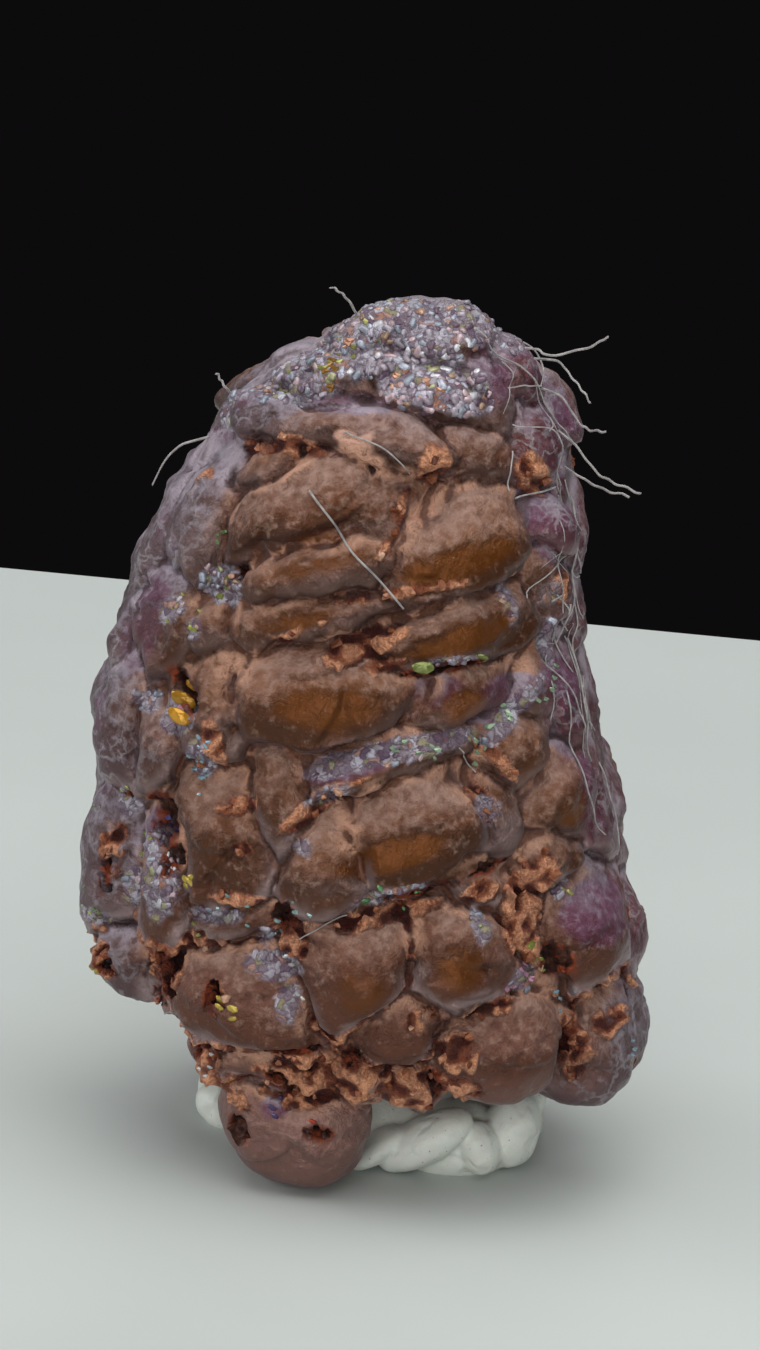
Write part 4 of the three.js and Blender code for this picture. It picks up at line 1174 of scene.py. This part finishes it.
def copper_finish():
    f = Finish("patinated_copper", Sheen_Weight=0.08, Sheen_Roughness=0.4, Specular_IOR_Level=0.35)
    f.shader.inputs["Sheen Tint"].default_value = (0.8, 0.76, 0.9, 1)
    crust, raw, violet, gold, pit, seam, rim, lip, crease, ash, wine, upward, height = (
        f.value(name) for name in
        "crust raw violet gold pit seam rim lip crease ash wine upward height".split()
    )
    fine, broad, tone, belly = (
        f.value(name) for name in ("fine_hollow", "broad_hollow", "own_tone", "own_height")
    )
    cloudy, patchy, mottle = f.noise(2.6, 2), f.noise(1.1, 3), f.noise(0.55, 5, 0.64, 0.4)
    speck, flecks = f.noise(0.16, 3, 0.6), f.noise(0.36, 3, 0.55)
    fading, lower, lowest = f.step(mottle, 0.42, 0.58), f.step(height, 0.44, 0.22), f.step(height, 0.2, 0.12)

    # The skin: brown in the middle, redder below, ash on the left and wine on the right.
    skin = f.coats(
        f.mix(f.step(f.plus(tone, cloudy), 0.6, 1.4), (100, 58, 34), (128, 84, 60)),
        (f.step(height, 0.48, 0.22, 0, 0.8), (116, 76, 64)),
        (lowest, (150, 112, 104)),
        (f.step(patchy, 0.42, 0.66, 0, 0.45), (110, 80, 70)),
        (f.times(ash, 0.9), f.mix(fading, (84, 66, 70), (114, 104, 112))),
        (f.times(wine, 0.85), f.mix(fading, (92, 42, 50), (112, 70, 82))),
        (f.times(violet, 0.85), f.mix(cloudy, (92, 36, 58), (112, 74, 106))),
    )

    # Bellies are smooth, and their colour is painted shade: a darker brown on the lower halves of the lobes
    # and on what faces down, with shaded copies of the colours low down, of wine and of ash.
    top = f.plus(f.times(belly, 0.6), f.times(upward, 0.8))
    uneven = f.plus(f.times(mottle, 0.65), f.times(patchy, 0.25))
    top = f.minus(f.minus(f.plus(top, uneven), 0.45), f.times(gold, 0.2))
    low = f.step(top, 0.9, 0.66)
    stained = f.most(wine, violet)
    belly_shade = f.coats(
        f.mix(lower, (66, 34, 14), (88, 52, 38)),
        (lowest, (122, 88, 80)), (stained, (80, 34, 44)), (ash, (86, 66, 70)),
    )

    # What faces up is paler in blotches: partly a frosty film, partly a painted sheen of the light from
    # above; the flanks have a web of pale lines.
    cool = f.step(f.plus(f.most(f.most(ash, wine), violet), f.times(cloudy, 0.3)), 0.5, 0.8)
    cool = f.most(cool, f.step(height, 0.84, 0.95))
    frost_and_sheen = f.minus(f.minus(top, f.times(stained, 0.16)), f.step(height, 0.44, 0.3, 0, 0.12))
    flecks = f.plus(flecks, f.times(frost_and_sheen, 0.2))
    dull = f.times(f.step(flecks, 0.66, 0.5, 0, 0.35), f.minus(1.0, low))
    under = f.minus(f.plus(belly, f.times(mottle, 0.5)), 0.25)
    web = f.step(f.cells(0.9, "DISTANCE_TO_EDGE", "Distance", f.wandering(0.5, 0.7)), 0.1, 0.03)
    web = f.times(f.times(web, f.step(patchy, 0.42, 0.58)), f.most(ash, wine))
    warmth = f.step(f.plus(patchy, f.times(cool, 0.25)), 0.45, 0.6)
    warmth = f.times(warmth, f.plus(f.times(cool, 0.7), 0.3))
    pale = f.mix(warmth, (156, 104, 80), (142, 130, 146))
    rim_highlight = f.times(rim, f.step(mottle, 0.34, 0.46, 0.2, 1))
    skin = f.coats(
        skin,
        # painted shade on the lower halves of the lobes
        (f.times(low, 0.9), belly_shade),
        # paler upper faces: frosty film and painted sheen of the light from above
        (f.step(frost_and_sheen, 0.78, 1.06, 0, 0.5), f.mix(cool, (138, 107, 95), (124, 114, 126))),
        (f.step(frost_and_sheen, 1.0, 1.2, 0, 0.5), f.mix(cool, (164, 132, 118), (142, 136, 148))),
        (f.step(flecks, 0.64, 0.86, 0, 0.4), f.mix(cool, (168, 138, 124), (152, 142, 154))),
        (dull, (72, 46, 38)),
        # painted golden reflection on the lower halves of the lobes
        (f.times(gold, f.step(under, 0.66, 0.4)), (96, 50, 4)),
        (f.times(web, 0.6), (156, 148, 154)),
        (f.step(f.plus(broad, mottle), 0.85, 1.15, 0, 0.5), pale),
        # painted highlight on the lit upper rims beside the seams
        (f.times(rim_highlight, 0.9), f.mix(cool, (194, 148, 124), (168, 154, 164))),
        # painted reflection of the floor on the lower lips
        (f.times(lip, f.step(height, 0.6, 0.3, 0.2, 0.75)), (150, 130, 130)),
        (f.step(speck, 0.62, 0.72, 0, 0.2), (160, 124, 108)),
        (f.step(speck, 0.4, 0.3, 0, 0.25), (62, 36, 26)),
        # painted shade darkening the seams and fine hollows
        (f.step(f.plus(seam, f.times(fine, 0.3)), 0.6, 1.1, 0, 0.6), (58, 30, 20)),
        # painted shade along the creases between lobes
        (f.times(crease, 0.7), (48, 24, 18)),
    )

    # Raw copper: salmon flesh, with painted highlights along the torn ridges and painted shade, dark red, in
    # the hollows between them.
    hollow = f.plus(fine, f.times(f.minus(mottle, 0.5), 1.2))
    flesh = f.mix(lower, (158, 92, 62), (132, 72, 48))
    ore = f.coats(
        f.mix(f.step(hollow, 0.6, -0.1), (76, 26, 14), flesh),
        (f.step(hollow, -0.12, -0.85), (226, 160, 122)),
        (f.step(patchy, 0.5, 0.62, 0, 0.4), (104, 66, 52)),
        (f.step(speck, 0.56, 0.4, 0, 0.45), (92, 40, 24)),
    )

    # The crystal rind: small wandering cells of many tints, with dark lines between them as painted shade
    # between the grains.
    wander = f.wandering(0.35, 0.5)
    red, green, blue = f.parts(f.cells(0.34, "F1", "Color", wander))[:3]
    lines = f.cells(0.34, "DISTANCE_TO_EDGE", "Distance", wander)
    rind = f.coats(
        f.mix(f.step(f.plus(red, mottle), 0.7, 1.3), (128, 114, 126), (166, 160, 170)),
        (f.step(green, 0.9, 0.93, 0, 0.7), (150, 144, 96)),
        (f.step(green, 0.1, 0.07, 0, 0.7), (176, 124, 98)),
        (f.step(blue, 0.88, 0.92), (188, 184, 196)),
        (f.step(blue, 0.18, 0.12, 0, 0.8), (96, 74, 96)),
        # painted shade between the grains
        (f.step(lines, 0.14, 0.0, 0, 0.6), (86, 66, 80)),
    )
    # Pits: dark red inside, with painted shade darkest in their hollows.
    inside = f.mix(f.step(fine, 0.3, -0.5), (50, 16, 8), (120, 52, 26))
    colour = f.coats(skin, (raw, ore), (f.times(crust, 0.92), rind), (pit, inside))

    rough = f.plus(f.step(top, 0.55, 1.0, 0.4, 0.6), f.times(crust, 0.08))
    metal = f.plus(f.times(f.most(raw, low), 0.12), 0.4)
    relief = f.plus(f.times(mottle, 0.7), f.times(speck, 0.3))
    normal = f.bump(f.times(relief, f.step(top, 0.5, 1.0, 0.45, 1.3)), 1.0, 0.2)
    normal = f.bump(f.times(f.most(speck, mottle), raw), 0.9, 0.3, normal)
    normal = f.bump(f.times(f.step(lines, 0.0, 0.3), crust), 0.6, 0.08, normal)
    return f.set(Base_Color=colour, Roughness=rough, Metallic=metal, Normal=normal)


def tinted_finish(name, dark, bump_size, **values):
    """A finish that takes each grain's own tint, a little uneven."""
    f = Finish(name, **values)
    uneven = f.step(f.noise(bump_size, 3), 0.3, 0.7)
    colour = f.mix(f.times(uneven, dark), f.value("tint", "Color"), (60, 40, 40), "MULTIPLY")
    return f.set(Base_Color=colour, Normal=f.bump(f.noise(bump_size / 2, 3), 0.4, 0.03))


def lint_finish():
    f = Finish("lint", Roughness=0.75, Sheen_Weight=0.4)
    return f.set(Base_Color=f.mix(f.step(f.noise(0.4, 2), 0.3, 0.7), (124, 118, 118), (168, 162, 160)))


def putty_finish():
    f = Finish("kneaded_putty", Roughness=0.5, Subsurface_Weight=0.15, Subsurface_Scale=0.0006)
    smear = f.step(f.noise(1.2, 4), 0.4, 0.75, 0, 0.5)
    colour = f.mix(smear, (224, 228, 219), (206, 211, 202))
    specks = f.step(f.noise(0.16, 2), 0.68, 0.76, 0, 0.8)
    colour = f.mix(specks, colour, (70, 62, 56))
    # Fold lines, sunk by the bump and darker as painted shade in the creases.
    folds = f.step(f.cells(2.4, "DISTANCE_TO_EDGE", "Distance", f.wandering(1.6, 2.4)), 0.1, 0.0)
    folds = f.times(folds, f.step(f.noise(1.9, 1), 0.5, 0.62))
    colour = f.mix(f.times(folds, 0.15), colour, (150, 154, 148))
    relief = f.minus(f.noise(0.5, 4), f.times(folds, 0.6))
    return f.set(Base_Color=colour, Normal=f.bump(relief, 0.45, 0.14))


def dress(piece, material, slot, *nodes):
    piece.data.materials.clear()
    piece.data.materials.append(material)
    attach(piece, "root")
    if nodes:
        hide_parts(*nodes)


dress(copper, copper_finish(), "copper", "copper_mass")
dress(rind, tinted_finish("crystal_rind", 0.5, 0.3, Metallic=0.3, Roughness=0.38), "copper")
dress(ore, tinted_finish("raw_copper", 0.6, 0.2, Metallic=0.35, Roughness=0.5), "copper")
dress(glint, tinted_finish("bright_glint", 0.3, 0.3, Metallic=0.4, Roughness=0.25), "copper")
dress(lint, lint_finish(), "lint", *FREE_FIBRES)
dress(putty, putty_finish(), "putty", "mounting_putty")

# ---- the stage ----

bpy.ops.object.select_all(action="DESELECT")
bpy.ops.mesh.primitive_plane_add(size=1, location=(0, -0.04, 0))
floor = bpy.context.object
floor.name = "floor"
floor.scale = (0.34, 0.222, 1)
bpy.ops.object.transform_apply(location=True, rotation=False, scale=True)
white = Finish("pale_floor", Roughness=0.55)
dust = white.noise(30, 3)
white.set(Base_Color=white.mix(white.step(dust, 0.3, 0.7), (186, 191, 188), (191, 196, 193)))
floor.data.materials.append(white.material)

world = bpy.data.worlds.new("dark room")
world.use_nodes = True
world.node_tree.nodes["Background"].inputs["Color"].default_value = (0.004, 0.0036, 0.004, 1)
bpy.context.scene.world = world
bpy.context.scene.view_settings.view_transform = "Standard"


def softbox(name, place, aim, size, power, tint=(1, 1, 1)):
    light = bpy.data.lights.new(name, "AREA")
    light.shape, light.size, light.energy, light.color = "DISK", size, power, tint
    lamp = bpy.data.objects.new(name, light)
    lamp.location = place
    lamp.rotation_euler = (Vector(aim) - Vector(place)).to_track_quat("-Z", "Y").to_euler()
    lamp.visible_camera = False
    bpy.context.scene.collection.objects.link(lamp)


MIDDLE = (0, 0, 0.018)
softbox("overhead", (0.02, -0.05, 0.36), (0, -0.01, 0.01), 0.5, 1.72, (0.98, 1.0, 0.99))
softbox("front_fill", (-0.08, -0.36, 0.14), MIDDLE, 0.24, 0.42)
softbox("front_low", (0.04, -0.3, 0.05), (0, 0, 0.01), 0.2, 0.18)
softbox("left_fill", (-0.36, 0.02, 0.14), MIDDLE, 0.24, 0.52, (0.97, 0.98, 1.0))
softbox("right_fill", (0.36, 0.04, 0.16), MIDDLE, 0.24, 0.14)
softbox("back_fill", (0.05, 0.36, 0.18), MIDDLE, 0.24, 0.14)

# ---- the camera: low in front, leaning a little ----

DISTANCE, ELEVATION, LEAN = 320, math.radians(18), math.radians(5.5)
aim = np.array([-1.17, 5.70, 17.55])
ahead = np.array([0, math.cos(ELEVATION), -math.sin(ELEVATION)])
level, rise = np.array([1.0, 0, 0]), np.array([0, math.sin(ELEVATION), math.cos(ELEVATION)])
across = math.cos(LEAN) * level + math.sin(LEAN) * rise
upward = -math.sin(LEAN) * level + math.cos(LEAN) * rise
camera = bpy.data.cameras.new("camera")
SENSOR, HALF_VIEW = 24, 27  # half of the height that the camera takes in at that distance
camera.sensor_fit, camera.sensor_height, camera.sensor_width = "VERTICAL", SENSOR, SENSOR
camera.lens = SENSOR / 2 * DISTANCE / HALF_VIEW
camera.clip_start, camera.clip_end = 0.01, 5
viewer = bpy.data.objects.new("camera", camera)
turn = Matrix([list(across), list(upward), list(-ahead)]).transposed()
viewer.matrix_world = Matrix.Translation(seat(aim - ahead * DISTANCE)) @ turn.to_4x4()
bpy.context.scene.collection.objects.link(viewer)
bpy.context.scene.camera = viewer
